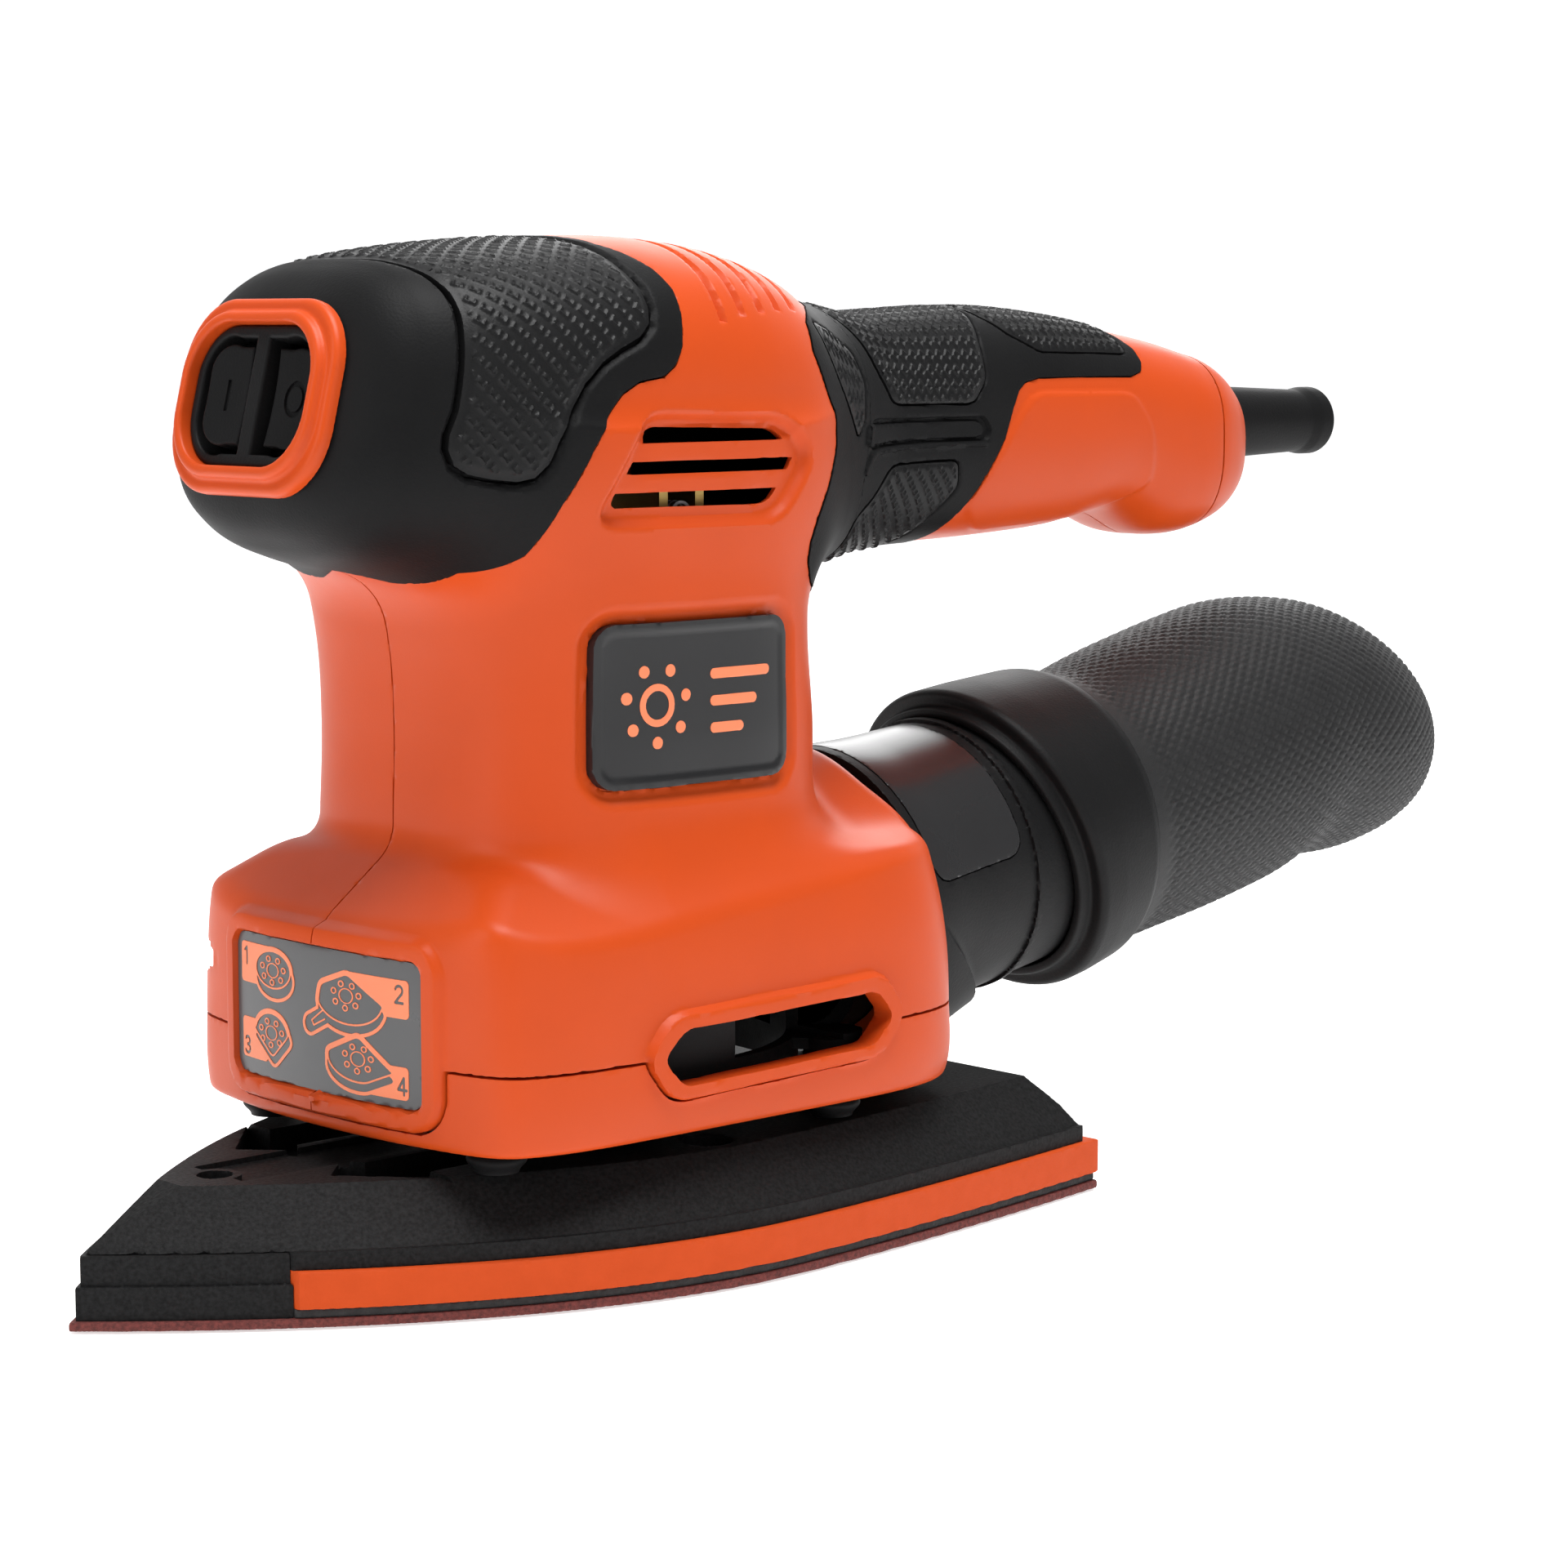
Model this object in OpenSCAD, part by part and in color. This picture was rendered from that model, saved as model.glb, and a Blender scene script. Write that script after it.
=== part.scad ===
/* [Base plate] */
// Length of the sanding face ahead of the motor axis
pad_front = 104; // [100:1:108]
// Length of the sanding face behind the motor axis
pad_rear = 92; // [88:1:94]
// Largest half width of the sanding face
pad_half = 53; // [50:1:56]
// Half width of the sanding face at its rear edge
pad_rear_half = 44; // [42:1:47]
// Thickness of the abrasive sheet
sheet_t = 1.5; // [1:0.1:2]
// Thickness of the hook layer
hook_t = 1.5; // [1:0.1:2]
// Thickness of the foam layer
foam_t = 6.2; // [5:0.1:7]
// Height of the base plate's top face above the sanding face
plate_top = 21.3; // [21:0.1:22]
// Radius of the accessory hole at the tip
tip_hole_r = 3; // [2.5:0.1:3.5]
// Radius of each dust hole
dust_hole_r = 4.5; // [3.5:0.1:5]
// Radius of the circle that the dust holes lie on
dust_circle_r = 36; // [34:1:38]

/* [Drive] */
// Offset of the pad from the motor axis, half the orbit
orbit_offset = 1; // [0.8:0.1:1.2]
// Radius of the motor shaft in its bearings
shaft_r = 4; // [3.5:0.1:4.5]
// Running clearance on the radius of shafts and pins
run_gap = 0.05; // [0.02:0.01:0.08]
// Radius of the stator
stator_r = 29; // [26:1:30]
// Radius of the rotor
rotor_r = 17; // [15:1:18]
// Radius of the fan
fan_r = 34; // [30:1:35]

/* [Housing] */
// Height of the housing's lower edge above the sanding face
skirt_bottom = 26; // [25.5:0.5:27]
// Height of the seam between skirt and upper housing
skirt_top = 39.5; // [38:0.5:41]
// Thickness of the moulded walls, grips included
wall = 4; // [3.6:0.1:4.4]
// Thickness of the grips, badges and label set into the walls
inlay = 1.8; // [1.4:0.1:2.2]

/* [Switch] */
// Lean of the switch face from upright, in degrees
face_lean = 14; // [10:1:18]
// Travel of the rocker between its two positions, in degrees
rocker_travel = 14; // [10:1:16]

/* [Dust collection] */
// Rise of the dust port towards the rear, in degrees
port_rise = 8.8; // [6:0.2:11]
// Inner radius of the dust port in the housing
port_r = 25; // [24:0.5:26]
// Largest radius of the dust bag
bag_r = 33; // [31:0.5:34]
// Length of the dust bag along the port
bag_len = 103; // [95:1:106]

/* [Cable] */
// Radius of the bore for the mains lead
cable_r = 3.6; // [3:0.1:4]

/* [Hidden] */

orange = [0.91, 0.34, 0.14];
black = [0.13, 0.13, 0.14];
grey = [0.3, 0.3, 0.32];
steel = [0.72, 0.73, 0.75];
copper = [0.75, 0.42, 0.2];

section_sides = 24;
slice_t = 0.02;
big = 400;

// Heights of the layers of the base, counted up from the sanding face
hook_z = sheet_t;
foam_z = sheet_t + hook_t;
plate_z = foam_z + foam_t;
bevel_z = plate_z + 2.8;
tip_back = -76;
tip_hole_x = -75.5;

// Centre of the pad at rest, on the eccentric's pin
pad_x = orbit_offset;
hub_r = 27.6;
hub_z = 14;
pin_r = 5;
pad_bearing_r = 13;
pin_z0 = 22;
pin_z1 = 30;

// Switch face: its centre, and the size of its opening
face_x = -64.5;
face_z = 148.2;
frame_half_w = 17;
frame_half_h = 11.5;

// Depth of the rocker's axis behind the face
rocker_depth = 9;

// Point on the port's axis where it leaves the housing
port_x = 63;
port_z = 53.3;
// Lengths along the port, counted from that point
plug_in = 14;
adapter_len = 50;
collar_at = 41;
collar_len = 22;
collar_inner = 26.4;
bag_wall = 1.6;

// The handle's end cap starts here, and is solid from here on
end_cap_x = 156;
end_wall_x = 168;
// The mains lead's axis, and where its strain relief starts, comes out and ends
cable_z = 140;
relief_x = 160.5;
relief_out_x = 169.7;
relief_len = 45;
relief_r = 7.5;
clamp_x = 148;

// Height of the brushes, and length of the housing screws
brush_z = 128;
screw_len = 22;

// Each section across the X axis: x, height of centre, half width, half height, power, tilt
head_sections = [
    [-63.5, 148.1, 20.5, 15.8, 3.2, 14], [-61.0, 147.7, 25.5, 19.5, 3.0, 14],
    [-56.0, 146.8, 30.5, 23.4, 2.9, 12], [-49.0, 145.8, 34.0, 25.6, 2.8, 9],
    [-38.0, 145.4, 36.8, 27.2, 2.8, 5], [-20.0, 145.6, 38.6, 28.4, 2.8, 0],
    [0.0, 145.0, 38.8, 29.6, 2.8, 0], [18.0, 143.0, 37.6, 29.4, 2.8, 0],
    [32.0, 140.4, 34.0, 28.4, 2.8, -3], [42.0, 139.8, 28.5, 25.5, 2.6, -6],
    [52.0, 139.8, 22.5, 22.6, 2.5, -4]
];
handle_sections = [
    [44.0, 139.6, 23.5, 22.6, 2.5, -4], [54.0, 139.6, 20.5, 21.4, 2.5, 0],
    [74.0, 140.6, 19.2, 21.6, 2.5, 0], [98.0, 141.4, 18.8, 21.6, 2.5, 0],
    [119.0, 140.8, 18.8, 20.5, 2.5, 0], [133.0, 139.7, 18.8, 19.3, 2.6, 0],
    [146.0, 137.6, 19.0, 19.2, 2.7, 0], [153.0, 136.7, 18.8, 18.5, 2.7, 0],
    [159.0, 136.6, 17.8, 17.2, 2.7, 0], [165.0, 136.2, 15.4, 14.8, 2.6, 0],
    [170.0, 136.0, 11.8, 11.6, 2.5, 0], [173.5, 135.6, 7.4, 7.6, 2.3, 0]
];
// Each level of the column and of the lower body: z, x at the front, x at the rear, half width, power
column_levels = [
    [58, -47, 44, 44.0, 3.6], [64, -43.5, 42, 41.0, 3.4], [70, -40, 40, 38.8, 3.2],
    [78, -38, 39, 37.8, 3.2], [92, -37.6, 38.6, 37.6, 3.2], [106, -38.4, 37.4, 37.6, 3.2],
    [114, -41, 37.4, 37.8, 3.2], [122, -46, 37.4, 38, 3.2], [132, -48, 37.4, 38, 3.2]
];
lower_levels = [
    [26, -55, 57, 46.6, 6.5], [29, -56, 57.6, 47.6, 6.5], [40, -56, 57.8, 47.6, 6.5],
    [50, -55.4, 57.6, 47.0, 6.2], [57, -54, 57, 45.6, 5.6], [62, -51.5, 55.6, 43.2, 5.0],
    [66, -47.5, 53, 40, 4.6]
];

// The same with the lowest level moved down, to cut the skirt open below
open_levels = [for (l = lower_levels) [l[0] - (l[0] < 28 ? 5 : 0), l[1], l[2], l[3], l[4]]];

screw_places = [[-46.5, 50], [-29, 122], [29, 119], [0, 164], [72, 130], [146, 128]];
skirt_screw_places = [[-46.5, 15], [-46.5, -15], [46.5, 36], [46.5, -36]];
post_places = [[-41.5, 31.5], [-41.5, -31.5], [30, 36.5], [30, -36.5]];
post_top = 34;

function power_sign(v, p) = sign(v) * pow(abs(v), p);
function oval(half_w, half_h, power, sides = section_sides) = [
    for (i = [0 : sides - 1])
        let (a = 360 * (i + 0.5) / sides)
            [half_w * power_sign(cos(a), 2 / power), half_h * power_sign(sin(a), 2 / power)]
];
function arc(cx, cy, r, from, to, steps) = [
    for (i = [0 : steps])
        let (a = from + (to - from) * i / steps)
            [cx + r * cos(a), cy + r * sin(a)]
];
function round_rect(half_x, half_y, r, steps = 6) = concat(
    arc(half_x - r, half_y - r, r, 0, 90, steps), arc(r - half_x, half_y - r, r, 90, 180, steps),
    arc(r - half_x, r - half_y, r, 180, 270, steps), arc(half_x - r, r - half_y, r, 270, 360, steps)
);

// Half width of the iron-shaped base at a place along it
function pad_half_at(x, grow) =
    x < 4
        ? (pad_half + grow) * (1 - pow((4 - x) / (4 + pad_front + grow), 1.95))
        : pad_half + grow - (pad_half - pad_rear_half) * pow((x - 4) / (pad_rear - 4), 1.5);
// Outline of the base, from a place along it to its rear edge, inset or grown
function pad_side(from, to, grow, side, steps) = [
    for (i = [0 : steps])
        let (x = from + (to - from) * i / steps)
            [x, side * max(0.01, pad_half_at(x, grow))]
];
function pad_outline(from, to, grow, steps = 26) = concat(
    pad_side(from, to, grow, -1, steps),
    [for (i = [steps : -1 : 0]) pad_side(from, to, grow, 1, steps)[i]]
);

module section_slice(s, inset) {
    translate([s[0], 0, s[1]]) rotate([90, 0, 90]) rotate([s[5], 0, 0])
        linear_extrude(slice_t, center = true) polygon(oval(s[2] - inset, s[3] - inset, s[4]));
}
module level_slice(s, inset, lift = 0) {
    half_x = (s[2] - s[1]) / 2 - inset;
    translate([(s[1] + s[2]) / 2, 0, s[0] + lift])
        linear_extrude(slice_t, center = true) polygon(oval(half_x, s[3] - inset, s[4]));
}
module along_x(sections, inset) {
    for (i = [0 : len(sections) - 2])
        hull() {
            section_slice(sections[i], inset);
            section_slice(sections[i + 1], inset);
        }
}
module along_z(levels, inset) {
    for (i = [0 : len(levels) - 2])
        hull() {
            level_slice(levels[i], inset);
            level_slice(levels[i + 1], inset);
        }
}
// Places its children on the port's axis, which becomes their Z axis
module on_port() {
    translate([port_x, 0, port_z]) rotate([0, 90 - port_rise, 0]) children();
}
// Places its children on the switch face: X is up the face, Z points out of it
module on_face() {
    translate([face_x, 0, face_z]) rotate([0, face_lean - 90, 0]) children();
}
// Runs an outline in X and Z through the whole width
module across(points) {
    rotate([90, 0, 0]) linear_extrude(big, center = true) polygon(points);
}

// The whole outer form of the housing, or its inside when inset by the wall
module form(inset) {
    along_x(head_sections, inset);
    along_x(handle_sections, inset);
    along_z(column_levels, inset);
    along_z(lower_levels, inset);
    on_port() translate([0, 0, -26]) cylinder(r = port_r + 6 - inset, h = 22 - inset, $fn = 48);
}
module cavity() {
    form(wall);
    // The lower body is open below
    translate([0, 0, -wall]) along_z([lower_levels[0], lower_levels[1]], wall);
}
module lower_form(inset) {
    along_z(lower_levels, inset);
    along_z([lower_levels[0], lower_levels[1]], inset);
}

// Zones of the housing's surface that another material covers
module nose_zone() {
    across([[-90, 90], [-46, 112], [-36, 117.5], [-27, 124], [-21, 134], [-16, 144], [-10, 149],
        [-3, 152], [1, 158], [0, 166], [-4, 172], [-8, 190], [-90, 190]]);
}
module palm_zone() {
    across([[-54, 190], [-52, 170], [-48, 163], [-47, 152], [-50, 143], [-48, 137], [-38, 134.5],
        [-32, 137], [-25, 148], [-18, 155], [-10, 158.5], [-8, 163], [-12, 172], [-16, 190]]);
}
module collar_zone() {
    across([[34, 190], [34, 160], [36, 153], [40, 145], [41, 135], [38, 126], [35, 118], [41, 108],
        [44, 100], [58, 100], [58, 190]]);
}
module grip_zone() {
    across([[58, 100], [68, 110], [76, 122], [90, 131], [101, 146], [106, 151], [136, 151.5],
        [140, 155], [132, 165], [132, 190], [58, 190]]);
}
module end_zone() {
    translate([end_cap_x, -big / 2, 0]) cube([big, big, big]);
}
module label_zone() {
    translate([-90, 0, 45]) rotate([90, 0, 90]) linear_extrude(60) polygon(round_rect(26.5, 12, 3));
}
module badge_zone() {
    translate([-4, 0, 96.5]) rotate([90, 0, 0]) linear_extrude(big, center = true)
        polygon(round_rect(22, 12.8, 4));
}
module window_zone() {
    across([[-18, 40], [-13, 45.5], [30, 46.5], [35, 40], [30, 34], [-13, 33]]);
}
module vent_zone() {
    for (i = [0 : 2])
        across([[-19 + 2 * i, 139 - 5 * i], [-17 + 2 * i, 142.5 - 5 * i],
            [21 - 2 * i, 142.5 - 5 * i], [20 - 2 * i, 139 - 5 * i]]);
}
module zones() {
    nose_zone();
    collar_zone();
    grip_zone();
    label_zone();
    badge_zone();
}
module left_side() {
    translate([-big / 2, -big, 0]) cube([big * 2, big, big]);
}
module right_side() {
    translate([-big / 2, 0, 0]) cube([big * 2, big, big]);
}
// A layer set into the surface, as deep as the inlay
module skin() {
    difference() {
        intersection() {
            form(0);
            children();
        }
        form(inlay);
    }
}
// How far to the right of the middle each screw's head sits
function screw_seat(place) = place[0] > 50 ? 8 : 16;
module screw_bosses(r) {
    for (p = screw_places)
        translate([p[0], 0, p[1]]) rotate([90, 0, 0])
            cylinder(r = r, h = 90, center = true, $fn = 20);
}
module skirt_bosses(r, from, to) {
    for (p = skirt_screw_places)
        translate([p[0], p[1], from]) cylinder(r = r, h = to - from, $fn = 20);
}
module shell() {
    difference() {
        form(0);
        cavity();
        difference() {
            zones();
            form(inlay);
        }
        translate([-big / 2, -big / 2, 0]) cube([big, big, skirt_top]);
        end_zone();
        window_zone();
        vent_zone();
        on_port() translate([0, 0, -30]) cylinder(r = port_r + run_gap, h = 60, $fn = 64);
        on_face() translate([0, 0, -30]) linear_extrude(60) square([27, 37], center = true);
    }
}
module housing_half() {
    difference() {
        union() {
            shell();
            intersection() {
                union() {
                    screw_bosses(5);
                    skirt_bosses(4.5, skirt_top, 47);
                }
                form(wall / 2);
            }
        }
        intersection() {
            screw_bosses(1.7);
            translate([-big / 2, -19, 0]) cube([big, 60, big]);
        }
        skirt_bosses(1.7, 20, 44.5);
    }
}

module housing_left() {
    color(orange) intersection() {
        housing_half();
        left_side();
    }
}
module housing_right() {
    color(orange) difference() {
        intersection() {
            housing_half();
            right_side();
        }
        // Counterbores for the screw heads
        for (p = screw_places)
            translate([p[0], screw_seat(p) - 0.2, p[1]]) rotate([-90, 0, 0])
                cylinder(r = 3.6, h = 60, $fn = 20);
    }
}
module base_skirt() {
    color(orange) difference() {
        union() {
            difference() {
                intersection() {
                    lower_form(0);
                    translate([-big / 2, -big / 2, skirt_bottom])
                        cube([big, big, skirt_top - skirt_bottom - 0.1]);
                }
                along_z(open_levels, wall);
            }
            intersection() {
                skirt_bosses(4.5, 32.2, skirt_top - 0.1);
                lower_form(wall / 2);
            }
        }
        skirt_bosses(1.7, 20, 60);
        window_zone();
        difference() {
            label_zone();
            lower_form(inlay);
        }
        on_port() translate([0, 0, -30]) cylinder(r = port_r + run_gap, h = 60, $fn = 64);
    }
}
module nose_grip() {
    color(black) difference() {
        skin() nose_zone();
        palm_zone();
        on_face() translate([0, 0, -30]) linear_extrude(60) polygon(round_rect(16.2, 21, 12));
    }
}
module palm_pad() {
    color(grey) skin() intersection() {
        nose_zone();
        palm_zone();
    }
}
module handle_collar() {
    color(black) skin() collar_zone();
}
module handle_grip() {
    color(grey) skin() grip_zone();
}
module handle_end_cap() {
    color(orange) difference() {
        intersection() {
            form(0);
            end_zone();
        }
        difference() {
            form(wall);
            translate([end_wall_x, -big / 2, 0]) cube([big, big, big]);
        }
        translate([relief_x, 0, cable_z]) rotate([0, 90, 0]) cylinder(r = 5.2, h = 30, $fn = 48);
        translate([relief_out_x - 0.2, 0, cable_z]) rotate([0, 90, 0])
            cylinder(r = relief_r + 0.2, h = 30, $fn = 48);
    }
}
module front_label() {
    color(grey) skin() label_zone();
}
module badge_left() {
    color(black) intersection() {
        skin() badge_zone();
        left_side();
    }
}
module badge_right() {
    color(black) intersection() {
        skin() badge_zone();
        right_side();
    }
}

module switch_bezel() {
    color(orange) on_face() difference() {
        union() {
            translate([0, 0, -0.9]) linear_extrude(1.4) polygon(round_rect(16, 20.8, 12));
            linear_extrude(2.2) polygon(round_rect(14, 19, 10.5));
        }
        translate([0, 0, -10]) linear_extrude(20) polygon(round_rect(frame_half_h, frame_half_w, 9));
    }
}
module switch_frame() {
    color(black) on_face() difference() {
        translate([0, 0, -9]) linear_extrude(9.6)
            polygon(round_rect(frame_half_h - 0.1, frame_half_w - 0.1, 8.9));
        for (side = [-1, 1])
            translate([0, side * 8.3, -10]) linear_extrude(20) polygon(round_rect(9.9, 6.4, 5.4));
        translate([0, 0, -10]) linear_extrude(6.4) polygon(round_rect(9.9, 14.4, 5));
    }
}
// The rocker turns on an axis up the face, set back behind the centre bar
module switch_rocker() {
    color(black) on_face() translate([0, 0, -rocker_depth]) rotate([rocker_travel / 2, 0, 0]) union() {
        for (side = [-1, 1])
            translate([0, side * 8.0, 1]) linear_extrude(8.2) polygon(round_rect(8.4, 4.9, 4));
        linear_extrude(3.4) polygon(round_rect(8.4, 12.6, 4));
        translate([-9, 0, 0]) rotate([0, 90, 0]) cylinder(r = 1.6, h = 18, $fn = 32);
    }
}
module switch_module() {
    color(grey) on_face() translate([0, 0, -33]) linear_extrude(20) square([19, 27], center = true);
}

module strain_relief() {
    cone_at = relief_out_x - relief_x;
    color(black) translate([relief_x, 0, cable_z]) rotate([0, 90, 0]) difference() {
        union() {
            cylinder(r = 5, h = cone_at + 1, $fn = 64);
            cylinder(r = relief_r - 0.5, h = 3.2, $fn = 64);
            rotate_extrude($fn = 64)
                polygon([[0, cone_at], [relief_r, cone_at], [relief_r - 0.3, cone_at + 14],
                    [relief_r - 0.9, relief_len - 6], [relief_r - 0.4, relief_len - 3],
                    [relief_r - 0.4, relief_len - 1], [relief_r - 1.2, relief_len], [0, relief_len]]);
        }
        translate([0, 0, -1]) cylinder(r = cable_r, h = relief_len + 2, $fn = 64);
    }
}
module cable_clamp() {
    color(grey) translate([clamp_x, 0, cable_z]) difference() {
        translate([-4, -11, -1]) cube([8, 22, 7.5]);
        rotate([0, 90, 0]) cylinder(r = cable_r, h = 20, center = true, $fn = 64);
        for (side = [-1, 1])
            translate([0, side * 8, -5]) cylinder(r = 1.6, h = 20, $fn = 32);
    }
}
module clamp_screws() {
    color(steel) for (side = [-1, 1])
        translate([clamp_x, side * 8, cable_z - 5]) {
            cylinder(r = 1.5, h = 11.7, $fn = 32);
            translate([0, 0, 11.6]) cylinder(r = 2.6, h = 1.6, $fn = 32);
        }
}
module capacitor() {
    color("steelblue") translate([118, -5, 130]) cube([22, 10, 14]);
}

module fan_shroud() {
    color(black) difference() {
        union() {
            translate([0, 0, 28]) cylinder(r = 41, h = 29, $fn = 96);
            // Ears that carry the rubber posts
            for (p = post_places) {
                translate([p[0], p[1], post_top]) cylinder(r = 5.4, h = 3, $fn = 48);
                translate([0, 0, post_top]) rotate([0, 0, atan2(p[1], p[0])])
                    translate([39, -4, 0]) cube([norm(p) - 38, 8, 3]);
            }
        }
        translate([0, 0, 27]) cylinder(r = 38.8, h = 31, $fn = 96);
        translate([3, -60, 36]) cube([25, 120, 9]);
        translate([20, -14, 34]) cube([40, 28, 22]);
    }
}
module bearing_plate() {
    color(black) difference() {
        union() {
            translate([0, 0, 57.1]) cylinder(r = 33, h = 2.4, $fn = 96);
            translate([0, 0, 57.1]) cylinder(r = 14, h = 10, $fn = 64);
        }
        translate([0, 0, 59]) cylinder(r = 11, h = 10, $fn = 64);
        translate([0, 0, 50]) cylinder(r = 7, h = 20, $fn = 64);
        for (a = [0 : 45 : 315])
            rotate([0, 0, a]) translate([23.5, 0, 50]) cylinder(r = 6, h = 20, $fn = 48);
    }
}
module ring(r_out, r_in, z, h) {
    translate([0, 0, z]) difference() {
        cylinder(r = r_out, h = h, $fn = 64);
        translate([0, 0, -1]) cylinder(r = r_in, h = h + 2, $fn = 64);
    }
}
module lower_bearing() {
    color(steel) ring(11, shaft_r + run_gap, 59.2, 7);
}
module upper_bearing() {
    color(steel) ring(9.5, shaft_r + run_gap, 141, 6);
}
module bearing_cup() {
    color(black) difference() {
        translate([0, 0, 140]) cylinder(r = 12.5, h = 11, $fn = 64);
        translate([0, 0, 139]) cylinder(r = 9.5, h = 8, $fn = 64);
        translate([0, 0, 146]) cylinder(r = 5, h = 3, $fn = 64);
    }
}
module stator_core() {
    color(steel) difference() {
        translate([0, 0, 74]) cylinder(r = stator_r, h = 34, $fn = 96);
        translate([0, 0, 73]) cylinder(r = rotor_r + 0.6, h = 36, $fn = 96);
        for (side = [-1, 1])
            translate([-9, side * 22 - 4.5, 73]) cube([18, 9, 36]);
    }
}
module field_coils() {
    color(copper) for (side = [-1, 1])
        difference() {
            translate([-8.6, side * 22 - 4.1, 69]) cube([17.2, 8.2, 44]);
            translate([-4, side * 22 - 2, 60]) cube([8, 4, 60]);
        }
}
module brush_holders() {
    color("goldenrod") for (side = [-1, 1])
        difference() {
            translate([-5, side * 21.5 - 9.5, brush_z - 5.5]) cube([10, 19, 11]);
            translate([-3.1, side * 21.5 - 12, brush_z - 4.1]) cube([6.2, 24, 8.2]);
        }
}
module carbon_brushes() {
    color(grey) for (side = [-1, 1])
        translate([-3, side * 17.8 - 5.7, brush_z - 4]) cube([6, 11.4, 8]);
}
module brush_springs() {
    color(steel) for (side = [-1, 1])
        for (turn = [0 : 4])
            translate([0, side * (24.4 + 1.5 * turn), brush_z]) rotate([90, 0, 0])
                rotate_extrude($fn = 32) translate([2.2, 0]) square([0.5, 0.9], center = true);
}
module screw(length, r, head_r) {
    cylinder(r = r, h = length, $fn = 32);
    translate([0, 0, length - 0.1]) cylinder(r = head_r, h = 2.2, $fn = 32);
}
module housing_screws() {
    color(steel) for (p = screw_places)
        translate([p[0], screw_seat(p) - screw_len, p[1]]) rotate([-90, 0, 0])
            screw(screw_len, 1.5, 3.2);
}
module skirt_screws() {
    color(steel) for (p = skirt_screw_places)
        translate([p[0], p[1], 44]) rotate([180, 0, 0]) screw(12, 1.5, 3);
}
module isolator_posts() {
    color(black) for (p = post_places)
        translate([p[0], p[1], 0]) {
            translate([0, 0, plate_top + 0.5]) cylinder(r = 4.5, h = post_top - plate_top - 0.5, $fn = 48);
            translate([0, 0, plate_top + 3]) cylinder(r = 5.4, h = 3, $fn = 48);
        }
}

module motor_shaft() {
    color(steel) translate([0, 0, 31]) cylinder(r = shaft_r, h = 116.5, $fn = 64);
}
module on_shaft(r_out, z, h) {
    difference() {
        translate([0, 0, z]) cylinder(r = r_out, h = h, $fn = 96);
        translate([0, 0, z - 1]) cylinder(r = shaft_r, h = h + 2, $fn = 64);
    }
}
module rotor_core() {
    color(steel) on_shaft(rotor_r, 74.5, 33);
}
module rotor_windings() {
    color(copper) {
        on_shaft(14.5, 69, 5.4);
        on_shaft(14.5, 107.6, 7);
    }
}
module commutator() {
    color(copper) on_shaft(11.8, 119, 17);
}
module fan() {
    color(black) difference() {
        union() {
            translate([0, 0, 44]) cylinder(r = fan_r, h = 2, $fn = 96);
            translate([0, 0, 44]) cylinder(r = 8, h = 11, $fn = 64);
            for (a = [0 : 30 : 330])
                rotate([0, 0, a]) translate([12, -0.8, 44]) cube([fan_r - 14, 1.6, 10.5]);
        }
        translate([0, 0, 40]) cylinder(r = shaft_r, h = 20, $fn = 64);
    }
}
module eccentric_weight() {
    color(steel) difference() {
        union() {
            translate([0, 0, 31]) cylinder(r = 12, h = 12.9, $fn = 64);
            translate([pad_x, 0, pin_z0]) cylinder(r = pin_r, h = 10, $fn = 64);
            intersection() {
                translate([0, 0, 32]) cylinder(r = 30, h = 11.9, $fn = 96);
                translate([-40, -24, 30]) cube([34, 48, 20]);
            }
        }
        translate([0, 0, 30.99]) cylinder(r = shaft_r, h = 20, $fn = 64);
        translate([pad_x, 0, pin_z0 - 1]) cylinder(r = 2, h = 9, $fn = 32);
    }
}
module bearing_screw() {
    color(steel) translate([pad_x, 0, 0]) {
        translate([0, 0, pin_z0 - 2.4]) cylinder(r = 7, h = 2.3, $fn = 48);
        translate([0, 0, pin_z0 - 0.2]) cylinder(r = 1.9, h = 7, $fn = 32);
    }
}
module pad_bearing() {
    color(steel) translate([pad_x, 0, 0]) ring(pad_bearing_r, pin_r + run_gap, pin_z0 + 0.2, pin_z1 - pin_z0 - 0.4);
}
module pad_hub() {
    color(grey) translate([pad_x, 0, 0]) difference() {
        union() {
            translate([0, 0, hub_z]) cylinder(r = hub_r, h = plate_top - hub_z, $fn = 96);
            translate([0, 0, hub_z]) cylinder(r = 16, h = pin_z1 - hub_z, $fn = 64);
        }
        translate([0, 0, pin_z0 + 0.2]) cylinder(r = pad_bearing_r, h = 20, $fn = 64);
        translate([0, 0, hub_z + 2]) cylinder(r = 9, h = 20, $fn = 64);
    }
}

module dust_holes() {
    for (a = [30 : 60 : 330])
        translate([pad_x + dust_circle_r * cos(a), dust_circle_r * sin(a), -1])
            cylinder(r = dust_hole_r, h = 60, $fn = 48);
}
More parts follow.
